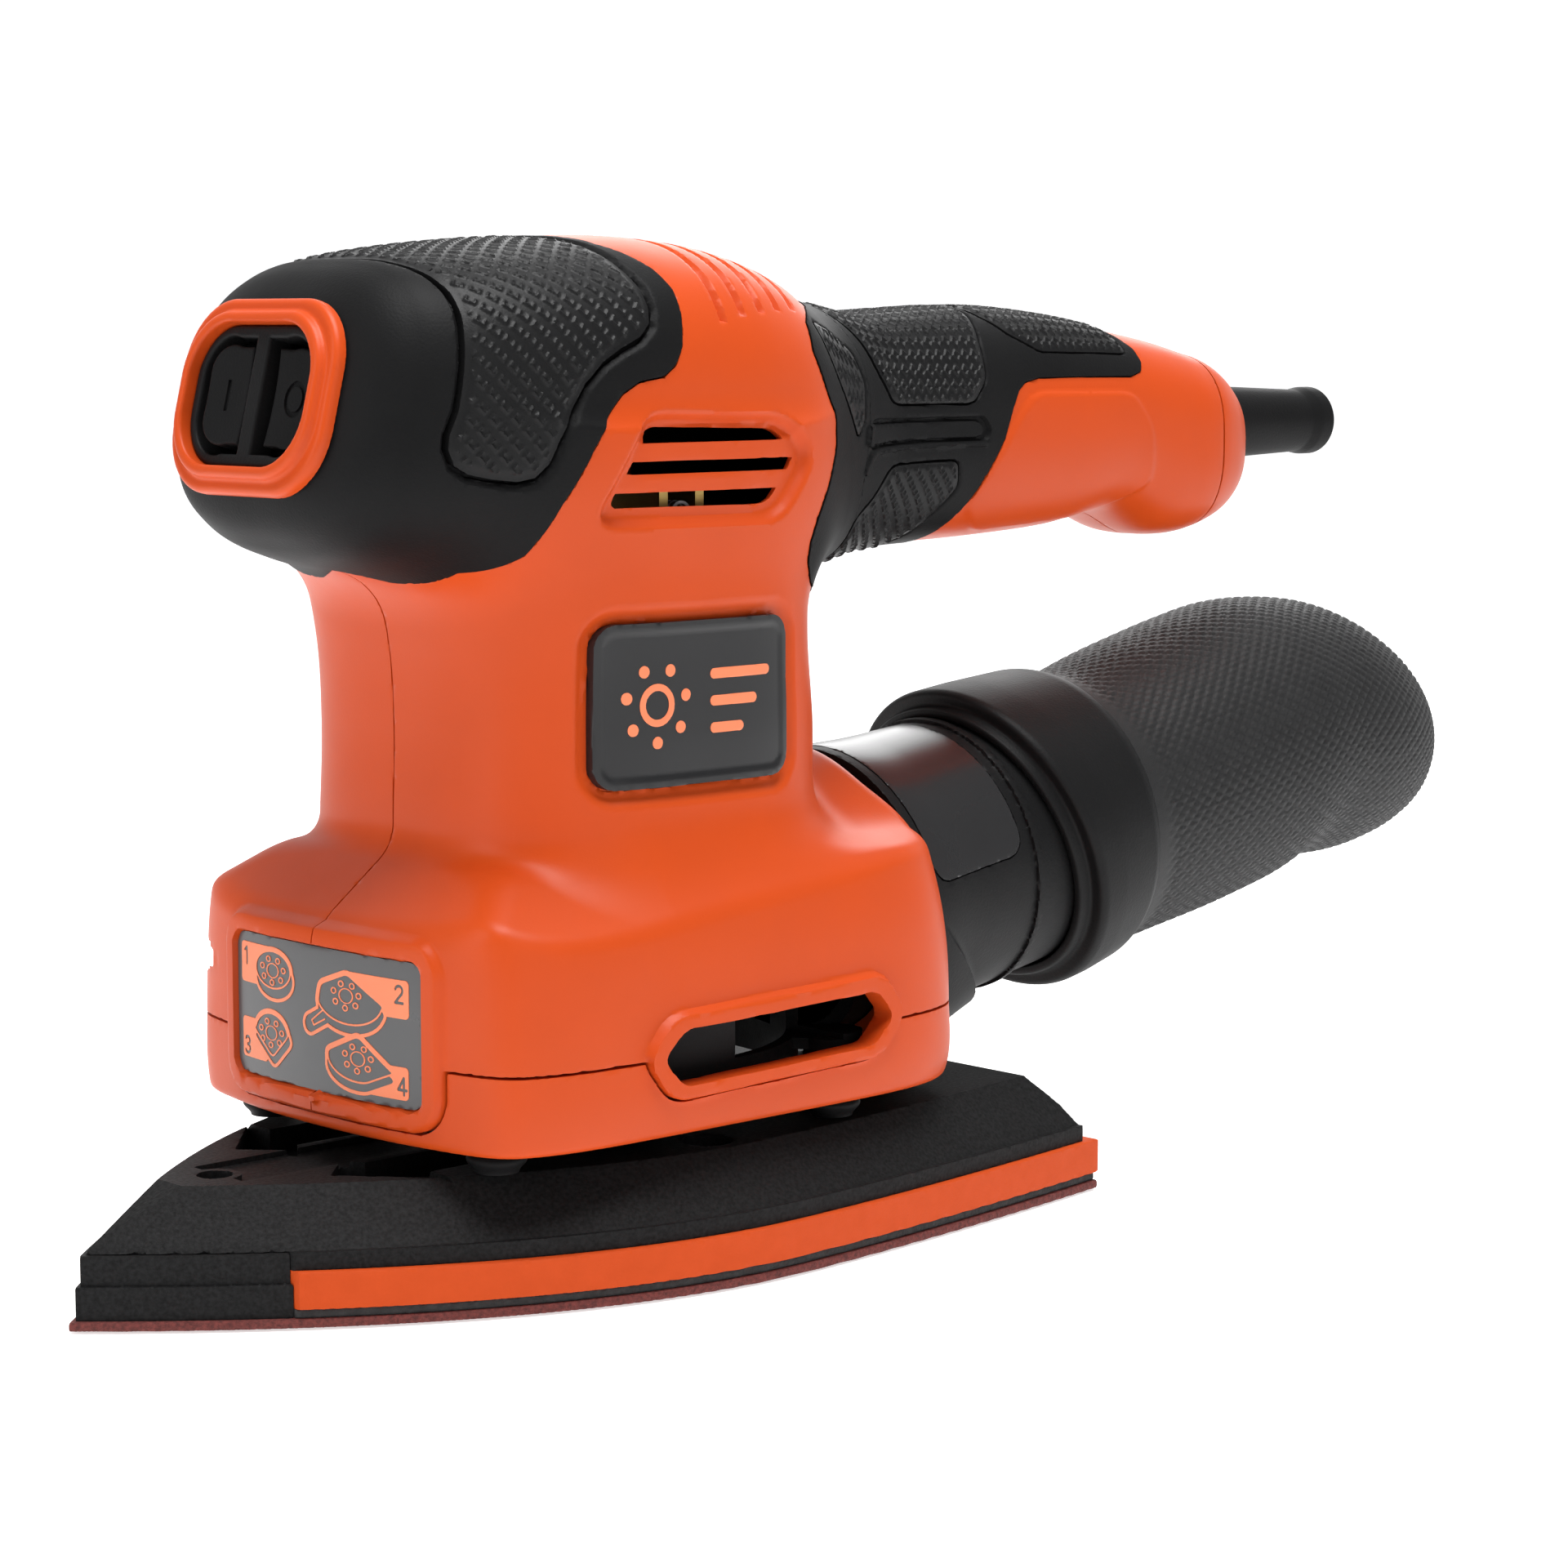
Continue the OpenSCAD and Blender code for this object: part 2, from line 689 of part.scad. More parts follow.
// Arrow-shaped recess in the top face, pointing forwards
module arrow(x, y) {
    translate([x, y, plate_top - 4]) linear_extrude(10)
        polygon([[0, 0], [13, 15], [13, 9], [30, 9], [30, -4], [9, -4], [6, -9]]);
}
module platen() {
    color(black) difference() {
        union() {
            translate([0, 0, plate_z]) linear_extrude(bevel_z - plate_z)
                polygon(pad_outline(tip_back + 0.1, pad_rear - 3.6, -1.2));
            hull() {
                translate([0, 0, bevel_z - slice_t]) linear_extrude(slice_t)
                    polygon(pad_outline(3.2 - pad_front, pad_rear - 4, -2.2));
                translate([0, 0, plate_top - slice_t]) linear_extrude(slice_t)
                    polygon(pad_outline(21 - pad_front, pad_rear - 9, -8.5));
            }
        }
        translate([pad_x, 0, hub_z - 0.2]) cylinder(r = hub_r + 0.3, h = 20, $fn = 96);
        translate([tip_hole_x, 0, bevel_z]) cylinder(r = tip_hole_r, h = 30, $fn = 64);
        arrow(-62, 14);
        mirror([0, 1, 0]) arrow(-62, 14);
        dust_holes();
    }
}
module platen_tip() {
    color(black) union() {
        translate([0, 0, hook_z]) linear_extrude(5.4) polygon(pad_outline(0.8 - pad_front, tip_back, 0));
        translate([0, 0, hook_z + 5.3]) linear_extrude(bevel_z - slice_t - hook_z - 5.3)
            polygon(pad_outline(2.4 - pad_front, tip_back, -1.6));
    }
}
module foam_pad() {
    color(orange) difference() {
        translate([0, 0, foam_z]) linear_extrude(foam_t) polygon(pad_outline(tip_back + 0.1, pad_rear, 0));
        dust_holes();
    }
}
module hook_pad() {
    color(black) difference() {
        translate([0, 0, hook_z]) linear_extrude(hook_t)
            polygon(pad_outline(tip_back + 0.1, pad_rear - 0.6, -0.6));
        dust_holes();
    }
}
module sanding_sheet() {
    color([0.42, 0.13, 0.12]) difference() {
        linear_extrude(sheet_t) polygon(pad_outline(0 - pad_front, pad_rear - 0.4, 0));
        dust_holes();
    }
}

module dust_adapter() {
    color(black) on_port() difference() {
        union() {
            translate([0, 0, -plug_in]) cylinder(r = port_r - 0.3, h = plug_in + 4, $fn = 96);
            hull() {
                translate([1, 0, 0.3]) linear_extrude(3) polygon(oval(27.8, 27.4, 2.3));
                translate([0.5, 0, 20]) linear_extrude(1) polygon(oval(27, 26.6, 2.1));
                translate([0, 0, 34]) linear_extrude(1) polygon(oval(26.1, 26.1, 2));
            }
            translate([0, 0, 34]) cylinder(r = 26, h = adapter_len - 34, $fn = 96);
        }
        translate([0, 0, -plug_in - 1]) cylinder(r = port_r - 3, h = adapter_len + plug_in + 2, $fn = 96);
        intersection() {
            translate([-40, -14, 9]) cube([20, 28, 22]);
            difference() {
                cylinder(r = 60, h = 60, $fn = 96);
                cylinder(r = 25.2, h = 60, $fn = 96);
            }
        }
    }
}
module adapter_window() {
    color([0.2, 0.2, 0.22]) on_port() intersection() {
        difference() {
            cylinder(r = 26.2, h = 40, $fn = 96);
            cylinder(r = 25.3, h = 40, $fn = 96);
        }
        translate([-40, -13.8, 9.2]) cube([20, 27.6, 21.6]);
    }
}
module bag_collar() {
    color(black) on_port() difference() {
        union() {
            translate([0, 0, collar_at]) cylinder(r = 31.5, h = 5, $fn = 96);
            translate([0, 0, collar_at]) cylinder(r = 29.5, h = collar_len, $fn = 96);
        }
        translate([0, 0, collar_at - 1]) cylinder(r = collar_inner, h = collar_len + 2, $fn = 96);
    }
}
module dust_bag() {
    outer = [[29.8, 0], [30.2, 22], [31.6, 40], [bag_r, 58], [bag_r - 1.6, 74], [bag_r - 5, 86],
        [bag_r - 11, bag_len - 8], [bag_r - 21, bag_len - 2], [0, bag_len]];
    color([0.16, 0.16, 0.17]) on_port() translate([0, 0, collar_at + collar_len + 0.1]) difference() {
        rotate_extrude($fn = 64) polygon(concat([[0, 0]], outer));
        rotate_extrude($fn = 64) polygon(concat([[0, -1], [28.2, -1]],
            [for (p = outer) [max(0, p[0] - bag_wall), min(p[1], bag_len - bag_wall)]]));
    }
}

housing_left();
housing_right();
base_skirt();
nose_grip();
palm_pad();
switch_bezel();
switch_frame();
switch_rocker();
switch_module();
front_label();
badge_left();
badge_right();
handle_collar();
handle_grip();
handle_end_cap();
strain_relief();
cable_clamp();
clamp_screws();
capacitor();
fan_shroud();
bearing_plate();
bearing_cup();
stator_core();
field_coils();
upper_bearing();
lower_bearing();
brush_holders();
carbon_brushes();
brush_springs();
housing_screws();
skirt_screws();
isolator_posts();
motor_shaft();
rotor_core();
rotor_windings();
commutator();
fan();
eccentric_weight();
bearing_screw();
pad_bearing();
pad_hub();
platen();
platen_tip();
foam_pad();
hook_pad();
sanding_sheet();
dust_adapter();
adapter_window();
bag_collar();
dust_bag();
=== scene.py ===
"""Looks of the detail mouse sander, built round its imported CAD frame. Shapes are in millimetres."""

import math

import bpy
import numpy as np
from mathutils import Matrix, Vector


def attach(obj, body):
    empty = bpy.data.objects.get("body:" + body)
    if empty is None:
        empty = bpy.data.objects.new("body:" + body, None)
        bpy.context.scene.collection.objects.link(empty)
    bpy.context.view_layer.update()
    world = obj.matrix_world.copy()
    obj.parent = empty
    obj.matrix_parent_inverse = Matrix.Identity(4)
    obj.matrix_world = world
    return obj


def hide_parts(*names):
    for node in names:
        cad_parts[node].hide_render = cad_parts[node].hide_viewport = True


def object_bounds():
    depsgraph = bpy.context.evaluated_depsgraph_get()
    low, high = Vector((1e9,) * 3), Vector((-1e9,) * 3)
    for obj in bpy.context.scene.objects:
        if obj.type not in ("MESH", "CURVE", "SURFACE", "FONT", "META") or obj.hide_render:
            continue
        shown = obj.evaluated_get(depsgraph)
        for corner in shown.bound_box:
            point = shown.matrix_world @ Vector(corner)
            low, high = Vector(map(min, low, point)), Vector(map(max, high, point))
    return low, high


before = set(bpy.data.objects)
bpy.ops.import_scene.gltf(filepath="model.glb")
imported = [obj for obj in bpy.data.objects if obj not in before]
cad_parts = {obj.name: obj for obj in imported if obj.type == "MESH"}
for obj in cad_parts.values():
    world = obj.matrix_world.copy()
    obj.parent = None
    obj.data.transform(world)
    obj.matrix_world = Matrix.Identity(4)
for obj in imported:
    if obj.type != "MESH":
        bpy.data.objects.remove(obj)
cad_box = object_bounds()

MM = 0.001
# A piece with more triangles than this is decimated
MOST_TRIANGLES = 190000


# ---------------------------------------------------------------- curves and fields
def blend_min(a, b, radius):
    """Union of two fields with a fillet."""
    h = np.clip(0.5 + 0.5 * (b - a) / radius, 0, 1)
    return b * (1 - h) + a * h - radius * h * (1 - h)


def blend_max(a, b, radius):
    """Intersection of two fields with a rounded edge."""
    return -blend_min(-a, -b, radius)


def smooth_line(knots, values):
    """A smooth curve through the values at the knots, as a function."""
    knots, values = np.array(knots, float), np.array(values, float)
    slopes = np.gradient(values, knots)
    fine = np.linspace(knots[0], knots[-1], 500)
    i = np.clip(np.searchsorted(knots, fine, "right") - 1, 0, len(knots) - 2)
    width = knots[i + 1] - knots[i]
    t = (fine - knots[i]) / width
    table = (
        (2 * t**3 - 3 * t**2 + 1) * values[i]
        + (t**3 - 2 * t**2 + t) * width * slopes[i]
        + (3 * t**2 - 2 * t**3) * values[i + 1]
        + (t**3 - t**2) * width * slopes[i + 1]
    )
    return lambda x: np.interp(x, fine, table)


def oval(u, v, half_u, half_v, power):
    """About the distance from a superellipse."""
    u, v = np.abs(u) / half_u + 1e-6, np.abs(v) / half_v + 1e-6
    g = (u**power + v**power) ** (1 / power)
    slope_u, slope_v = (u / g) ** (power - 1) / half_u, (v / g) ** (power - 1) / half_v
    return (g - 1) / np.sqrt(slope_u**2 + slope_v**2)


def loft_x(rows):
    """Solid through ovals across X: x, height of centre, half width, half height, power, tilt."""
    xs = [row[0] for row in rows]
    centre, half_w, half_h, power, tilt = [
        smooth_line(xs, [row[i] for row in rows]) for i in range(1, 6)
    ]

    def field(x, y, z):
        s = x
        for _ in range(2):
            s = x - np.tan(np.radians(tilt(s))) * (z - centre(s))
        up = (z - centre(s)) / np.cos(np.radians(tilt(s)))
        return oval(y, up, half_w(s), half_h(s), power(s))

    return field


def loft_z(rows):
    """Solid through ovals across Z: z, front x, rear x, half width, power."""
    zs = [row[0] for row in rows]
    front, rear, half_w, power = [
        smooth_line(zs, [row[i] for row in rows]) for i in range(1, 5)
    ]

    def field(x, y, z):
        a, b = front(z), rear(z)
        return oval(x - (a + b) / 2, y, (b - a) / 2, half_w(z), power(z))

    return field


def fillet(points, cut):
    """A closed outline with each corner cut back and rounded."""
    points = np.array(points, float)
    out = []
    for i, p in enumerate(points):
        ends = []
        for q in (points[i - 1], points[(i + 1) % len(points)]):
            reach = np.linalg.norm(q - p)
            ends.append(p + (q - p) * min(cut, 0.48 * reach) / reach)
        for t in np.linspace(0, 1, 6):
            out.append((1 - t) ** 2 * ends[0] + 2 * t * (1 - t) * p + t**2 * ends[1])
    return np.array(out)


def table_grid(low, counts, spacing):
    """Both coordinates of every point of a table."""
    return np.meshgrid(*[low[i] + spacing * np.arange(counts[i]) for i in range(2)], indexing="ij")


def read_table(table, low, spacing):
    """A 2-D table as a function; past its edges, the distance from it is added."""

    def field(u, v):
        pu = np.clip((u - low[0]) / spacing, 0, table.shape[0] - 1.001)
        pv = np.clip((v - low[1]) / spacing, 0, table.shape[1] - 1.001)
        iu, iv = pu.astype(int), pv.astype(int)
        fu, fv = pu - iu, pv - iv
        near = table[iu, iv] * (1 - fu) + table[iu + 1, iv] * fu
        far = table[iu, iv + 1] * (1 - fu) + table[iu + 1, iv + 1] * fu
        past = np.hypot(u - low[0] - pu * spacing, v - low[1] - pv * spacing)
        return near * (1 - fv) + far * fv + past

    return field


def flat_shape(points, spacing=0.35, margin=6):
    """Signed distance from a closed outline, as a function that reads a table."""
    points = np.array(points, float)
    low = points.min(0) - margin
    counts = np.ceil((points.max(0) + margin - low) / spacing).astype(int) + 1
    u, v = table_grid(low, counts, spacing)
    nearest = np.full(u.shape, 1e9)
    inside = np.zeros(u.shape, bool)
    for a, b in zip(points, np.roll(points, -1, 0)):
        d = b - a
        if abs(d[0]) + abs(d[1]) < 1e-9:
            continue
        t = np.clip(((u - a[0]) * d[0] + (v - a[1]) * d[1]) / (d @ d), 0, 1)
        nearest = np.minimum(nearest, (u - a[0] - t * d[0]) ** 2 + (v - a[1] - t * d[1]) ** 2)
        if d[1] != 0:
            inside ^= ((a[1] > v) != (b[1] > v)) & (u < a[0] + d[0] * (v - a[1]) / d[1])
    return read_table(np.where(inside, -1, 1) * np.sqrt(nearest), low, spacing)


def round_rect(u, v, half_u, half_v, radius):
    """Distance from a rectangle with round corners."""
    du, dv = np.abs(u) - half_u + radius, np.abs(v) - half_v + radius
    outer = np.hypot(np.maximum(du, 0), np.maximum(dv, 0))
    return outer + np.minimum(np.maximum(du, dv), 0) - radius


# ---------------------------------------------------------------- meshes from fields
# The grid is filled only in the blocks near the surface; a block is this many samples wide
BLOCK = 6


def slope_of(field, points, reach):
    """Direction in which the field grows, at each point."""
    out = np.empty_like(points)
    for axis in range(3):
        step = np.zeros(3)
        step[axis] = reach
        out[:, axis] = field(*(points + step).T) - field(*(points - step).T)
    return out / (np.linalg.norm(out, axis=1, keepdims=True) + 1e-12)


def surface(field, low, high, step):
    """Vertices and quads of the field's zero surface, with its sharp edges kept."""
    low = np.array(low, float) - 1.5 * step
    blocks = np.ceil((np.array(high, float) + 1.5 * step - low) / (step * BLOCK)).astype(int)
    middle = step * (BLOCK - 1) / 2
    centres = np.meshgrid(
        *[low[i] + step * BLOCK * np.arange(blocks[i]) + middle for i in range(3)], indexing="ij"
    )
    centres = [c.ravel() for c in centres]
    coarse = field(*centres)
    near = np.abs(coarse) < step * BLOCK * 1.7
    offsets = np.stack(np.meshgrid(*[step * np.arange(BLOCK) - middle] * 3, indexing="ij"), -1)
    offsets = offsets.reshape(-1, 3)
    values = np.repeat(coarse[:, None], BLOCK**3, 1)
    points = [c[near][:, None] + offsets[None, :, i] for i, c in enumerate(centres)]
    values[near] = field(*[p.ravel() for p in points]).reshape(-1, BLOCK**3)
    shape = blocks * BLOCK
    grid = values.reshape(*blocks, BLOCK, BLOCK, BLOCK).transpose(0, 3, 1, 4, 2, 5).reshape(shape)
    grid[grid == 0] = 1e-6
    for axis in range(3):
        ends = np.moveaxis(grid, axis, 0)
        ends[0], ends[-1] = np.maximum(ends[0], 0.01), np.maximum(ends[-1], 0.01)
    inside = grid < 0
    stride = np.array([shape[1] * shape[2], shape[2], 1])
    crossings, cells, quads = [], [], []
    for axis in range(3):
        first = [slice(None)] * 3
        second = [slice(None)] * 3
        first[axis], second[axis] = slice(0, -1), slice(1, None)
        first, second = tuple(first), tuple(second)
        at = np.nonzero(inside[first] != inside[second])
        ijk = np.stack(at, 1)
        a, b = grid[first][at], grid[second][at]
        place = ijk.astype(float)
        place[:, axis] += a / (a - b)
        crossings.append(place)
        u, v = (axis + 1) % 3, (axis + 2) % 3
        around_edge = []
        for du, dv in ((0, 0), (-1, 0), (-1, -1), (0, -1)):
            c = ijk.copy()
            c[:, u] += du
            c[:, v] += dv
            around_edge.append(c @ stride)
        quad = np.stack(around_edge, 1)
        cells.append(quad)
        quads.append(np.where((a < 0)[:, None], quad, quad[:, ::-1]))
    places = low + step * np.concatenate(crossings)
    cells = np.concatenate(cells)
    normals = slope_of(field, places, 0.12 * step)
    names, index = np.unique(cells, return_inverse=True)
    index = index.reshape(cells.shape)
    count = np.bincount(index.ravel())
    flat = index.ravel()

    def gather(weights):
        """Sum, in each cell, of a weight on each crossing."""
        return np.bincount(flat, weights=np.repeat(weights, 4), minlength=len(names))

    centre = np.stack([gather(places[:, k]) / count for k in range(3)], 1)
    # Least squares: the point nearest to all the tangent planes met in each cell
    square = np.zeros((len(names), 3, 3))
    for j in range(3):
        for k in range(j, 3):
            square[:, j, k] = square[:, k, j] = gather(normals[:, j] * normals[:, k])
    offset = (normals * places).sum(1)
    right = np.stack([gather(normals[:, k] * offset) for k in range(3)], 1)
    right -= np.einsum("nij,nj->ni", square, centre)
    square += np.eye(3) * 0.08
    move = np.linalg.solve(square, right[:, :, None])[:, :, 0]
    move *= np.minimum(1, 0.8 * step / (np.linalg.norm(move, axis=1, keepdims=True) + 1e-9))
    lookup = np.searchsorted(names, np.concatenate(quads))
    return centre + move, lookup


def piece(name, field, low, high, step, body, nodes, slot, material, sharp=38, coarse=1.9):
    """Makes a piece of the object from a field, riding on a CAD body in place of CAD nodes."""
    vertices, quads = surface(field, low, high, step * (1))
    mesh = bpy.data.meshes.new(name)
    mesh.vertices.add(len(vertices))
    mesh.vertices.foreach_set("co", (vertices * MM).ravel())
    mesh.loops.add(quads.size)
    mesh.loops.foreach_set("vertex_index", quads.ravel().astype(np.int32))
    mesh.polygons.add(len(quads))
    mesh.polygons.foreach_set("loop_start", np.arange(0, quads.size, 4, dtype=np.int32))
    mesh.update(calc_edges=True)
    mesh.validate()
    obj = bpy.data.objects.new(name, mesh)
    bpy.context.scene.collection.objects.link(obj)
    if len(quads) * 2 > MOST_TRIANGLES:
        shrink = obj.modifiers.new("fewer", "DECIMATE")
        shrink.ratio = MOST_TRIANGLES / (len(quads) * 2)
        apply_modifiers(obj)
    return finish_piece(obj, body, nodes, material, sharp)


def apply_modifiers(obj):
    """Puts the mesh that the modifiers make in place of the object's own."""
    graph = bpy.context.evaluated_depsgraph_get()
    made = bpy.data.meshes.new_from_object(obj.evaluated_get(graph))
    obj.modifiers.clear()
    obj.data = made


def finish_piece(obj, body, nodes, material, sharp=38):
    """Shading, material, body and replaced nodes of a piece."""
    mesh = obj.data
    mesh.polygons.foreach_set("use_smooth", np.ones(len(mesh.polygons), bool))
    mesh.set_sharp_from_angle(angle=math.radians(sharp))
    mesh.materials.clear()
    mesh.materials.append(material)
    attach(obj, body)
    if nodes:
        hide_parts(*nodes)
    return obj


def mesh_piece(name, vertices, faces, body, nodes, material, sharp=38):
    """Makes a piece from vertices in millimetres and faces."""
    mesh = bpy.data.meshes.new(name)
    mesh.from_pydata([tuple(np.array(v) * MM) for v in vertices], [], [tuple(f) for f in faces])
    mesh.update(calc_edges=True)
    obj = bpy.data.objects.new(name, mesh)
    bpy.context.scene.collection.objects.link(obj)
    return finish_piece(obj, body, nodes, material, sharp)


def lathe(name, profile, place, body, nodes, material, segments=160, sharp=30):
    """Makes a turned piece: the closed profile of (along, radius) goes round, through place()."""
    segments = segments
    profile = np.array(profile, float)
    turn = np.linspace(0, 2 * math.pi, segments, endpoint=False)
    along, radius = np.repeat(profile[:, 0], segments), np.repeat(profile[:, 1], segments)
    turn = np.tile(turn, len(profile))
    vertices = np.stack(place(along, radius * np.sin(turn), radius * np.cos(turn)), -1)
    ids = np.arange(len(vertices)).reshape(len(profile), segments)
    below, beside = np.roll(ids, -1, 0), np.roll(ids, -1, 1)
    faces = np.stack([ids, beside, np.roll(below, -1, 1), below], -1).reshape(-1, 4)
    return mesh_piece(name, vertices, faces, body, nodes, material, sharp)


def rounded(points, cut):
    """A closed profile with its corners rounded; a point may carry its own cut."""
    corners = [p[:2] for p in points]
    cuts = [p[2] if len(p) > 2 else cut for p in points]
    out = []
    for i, p in enumerate(np.array(corners, float)):
        before = np.array(corners[i - 1], float)
        after = np.array(corners[(i + 1) % len(corners)], float)
        a, b = np.linalg.norm(before - p), np.linalg.norm(after - p)
        if cuts[i] < 0.02:
            out.append(p)
            continue
        start = p + (before - p) * min(cuts[i], 0.45 * a) / a
        end = p + (after - p) * min(cuts[i], 0.45 * b) / b
        for t in np.linspace(0, 1, 5):
            out.append((1 - t) ** 2 * start + 2 * t * (1 - t) * p + t**2 * end)
    return np.array(out)


# ---------------------------------------------------------------- materials
def material(name, colour, rough, metal=0.0, other=None, mottle=60.0, share=0.5, rough_span=0.08,
             grain=2600.0, grain_mm=0.02, stretch=(1, 1, 1), specular=0.5):
    """Moulded, cast or drawn stuff: a mottled colour, uneven gloss and a fine grain."""
    made = bpy.data.materials.new(name)
    made.use_nodes = True
    tree = made.node_tree
    nodes, links = tree.nodes, tree.links
    shader = nodes["Principled BSDF"]
    shader.inputs["Metallic"].default_value = metal
    shader.inputs["Specular IOR Level"].default_value = specular
    place = nodes.new("ShaderNodeTexCoord")
    mapping = nodes.new("ShaderNodeMapping")
    mapping.inputs["Scale"].default_value = stretch
    links.new(place.outputs["Object"], mapping.inputs["Vector"])
    patches = nodes.new("ShaderNodeTexNoise")
    patches.inputs["Scale"].default_value = mottle
    patches.inputs["Detail"].default_value = 5.0
    links.new(mapping.outputs["Vector"], patches.inputs["Vector"])
    mix = nodes.new("ShaderNodeMix")
    mix.data_type = "RGBA"
    mix.inputs["A"].default_value = (*colour, 1.0)
    mix.inputs["B"].default_value = (*(other or [c * 0.86 for c in colour]), 1.0)
    spread = nodes.new("ShaderNodeMapRange")
    spread.inputs["From Min"].default_value = 0.35
    spread.inputs["From Max"].default_value = 0.7
    spread.inputs["To Max"].default_value = share
    links.new(patches.outputs["Fac"], spread.inputs["Value"])
    links.new(spread.outputs["Result"], mix.inputs["Factor"])
    links.new(mix.outputs["Result"], shader.inputs["Base Color"])
    gloss = nodes.new("ShaderNodeMapRange")
    gloss.inputs["To Min"].default_value = rough - rough_span
    gloss.inputs["To Max"].default_value = rough + rough_span
    links.new(patches.outputs["Fac"], gloss.inputs["Value"])
    links.new(gloss.outputs["Result"], shader.inputs["Roughness"])
    fine = nodes.new("ShaderNodeTexNoise")
    fine.inputs["Scale"].default_value = grain
    fine.inputs["Detail"].default_value = 2.0
    links.new(mapping.outputs["Vector"], fine.inputs["Vector"])
    bump = nodes.new("ShaderNodeBump")
    bump.inputs["Strength"].default_value = 1.0
    bump.inputs["Distance"].default_value = grain_mm * MM
    links.new(fine.outputs["Fac"], bump.inputs["Height"])
    links.new(bump.outputs["Normal"], shader.inputs["Normal"])
    return made


BLACK = (0.006, 0.006, 0.0063)
SOOT = (0.009, 0.009, 0.0094)
M = {
    "orange": material("orange_plastic", (0.56, 0.064, 0.008), 0.4, other=(0.52, 0.059, 0.0075),
                       grain_mm=0.014, specular=0.2),
    "black": material("black_plastic", SOOT, 0.5, other=BLACK, grain=1900, grain_mm=0.05,
                      specular=0.12),
    "rubber": material("grip_rubber", BLACK, 0.56, other=SOOT, grain=2100, grain_mm=0.045,
                       specular=0.1),
    "pad": material("grip_pad_rubber", (0.008, 0.008, 0.0083), 0.44, other=(0.01, 0.01, 0.0105),
                    grain_mm=0.03, specular=0.16),
    "gloss": material("satin_black", (0.012, 0.012, 0.013), 0.34, grain_mm=0.008, rough_span=0.05,
                      specular=0.4),
    "label": material("label_film", (0.07, 0.07, 0.072), 0.3, other=(0.055, 0.055, 0.058),
                      grain_mm=0.006),
    "print": material("label_print", (0.86, 0.22, 0.09), 0.42, grain_mm=0.006),
    "smoke": material("smoked_plastic", (0.02, 0.02, 0.021), 0.24, grain_mm=0.004, rough_span=0.04),
    "speckle": material("speckled_plastic", (0.013, 0.013, 0.0135), 0.6, other=(0.004, 0.004, 0.004),
                        mottle=1500, share=0.9, grain=1700, grain_mm=0.07, specular=0.12),
    "foam": material("foam_layer", (0.55, 0.066, 0.009), 0.6, other=(0.49, 0.058, 0.008), mottle=300,
                     grain=2200, grain_mm=0.05, specular=0.15),
    "hook": material("hook_fabric", (0.03, 0.03, 0.03), 0.85, other=(0.015, 0.015, 0.015), mottle=700,
                     share=0.8, grain=1600, grain_mm=0.2),
    "grit": material("abrasive", (0.16, 0.028, 0.022), 0.8, other=(0.07, 0.012, 0.01), mottle=1500,
                     share=1.0, grain=1700, grain_mm=0.35),
    "bag": material("bag_fabric", (0.016, 0.016, 0.0165), 0.55, other=(0.022, 0.022, 0.0225), mottle=200,
                    grain=3200, grain_mm=0.05, specular=0.3),
    "steel": material("ground_steel", (0.56, 0.56, 0.58), 0.3, metal=1.0, stretch=(1, 1, 14),
                      grain_mm=0.01),
    "zinc": material("zinc_plate", (0.62, 0.62, 0.6), 0.36, metal=1.0, mottle=220, grain_mm=0.012),
    "iron": material("core_iron", (0.3, 0.3, 0.31), 0.45, metal=1.0, stretch=(1, 1, 40), mottle=50,
                     grain_mm=0.03),
    "copper": material("copper_wire", (0.72, 0.29, 0.12), 0.34, metal=1.0, stretch=(1, 1, 22),
                       mottle=90, grain=1200, grain_mm=0.12),
    "brass": material("brass", (0.72, 0.5, 0.17), 0.34, metal=1.0, grain_mm=0.012),
    "carbon": material("carbon_block", (0.03, 0.03, 0.032), 0.7, mottle=500, grain_mm=0.05),
    "case": material("capacitor_case", (0.05, 0.13, 0.32), 0.4, grain_mm=0.01),
}


# ---------------------------------------------------------------- the housing's form
# The switch face's middle and backward lean, the dust port's mouth and rise, the head's axis
FACE = (-64.5, 0.0, 148.2)
LEAN = math.radians(14)
PORT = (63.0, 0.0, 53.3)
RISE = math.radians(8.8)
AXIS_Z = 143.0
# Millimetres of arc per degree round the head's axis, at about 34 mm from it
ARC = 0.6


def face_coords(x, y, z):
    """Across the switch face, up it, and out of it."""
    dx, dz = x - FACE[0], z - FACE[2]
    up = dx * math.sin(LEAN) + dz * math.cos(LEAN)
    return y, up, dz * math.sin(LEAN) - dx * math.cos(LEAN)


def port_coords(x, y, z):
    """Along the port's axis, across it, and up from it."""
    dx, dz = x - PORT[0], z - PORT[2]
    along = dx * math.cos(RISE) + dz * math.sin(RISE)
    return along, y, dz * math.cos(RISE) - dx * math.sin(RISE)


def port_point(along, across, up):
    """The place of a point given along, across and up from the port's axis."""
    x = PORT[0] + along * math.cos(RISE) - up * math.sin(RISE)
    return x, across, PORT[2] + along * math.sin(RISE) + up * math.cos(RISE)


def arc(y, z):
    """Height round the head and handle as an arc: 0 on the sides, 54 on top, -54 below."""
    return ARC * np.degrees(np.arctan2(z - AXIS_Z, np.abs(y)))


def arc_outline(points):
    """An outline given as x and degrees round the head, as x and arc."""
    return [(x, ARC * degrees) for x, degrees in points]


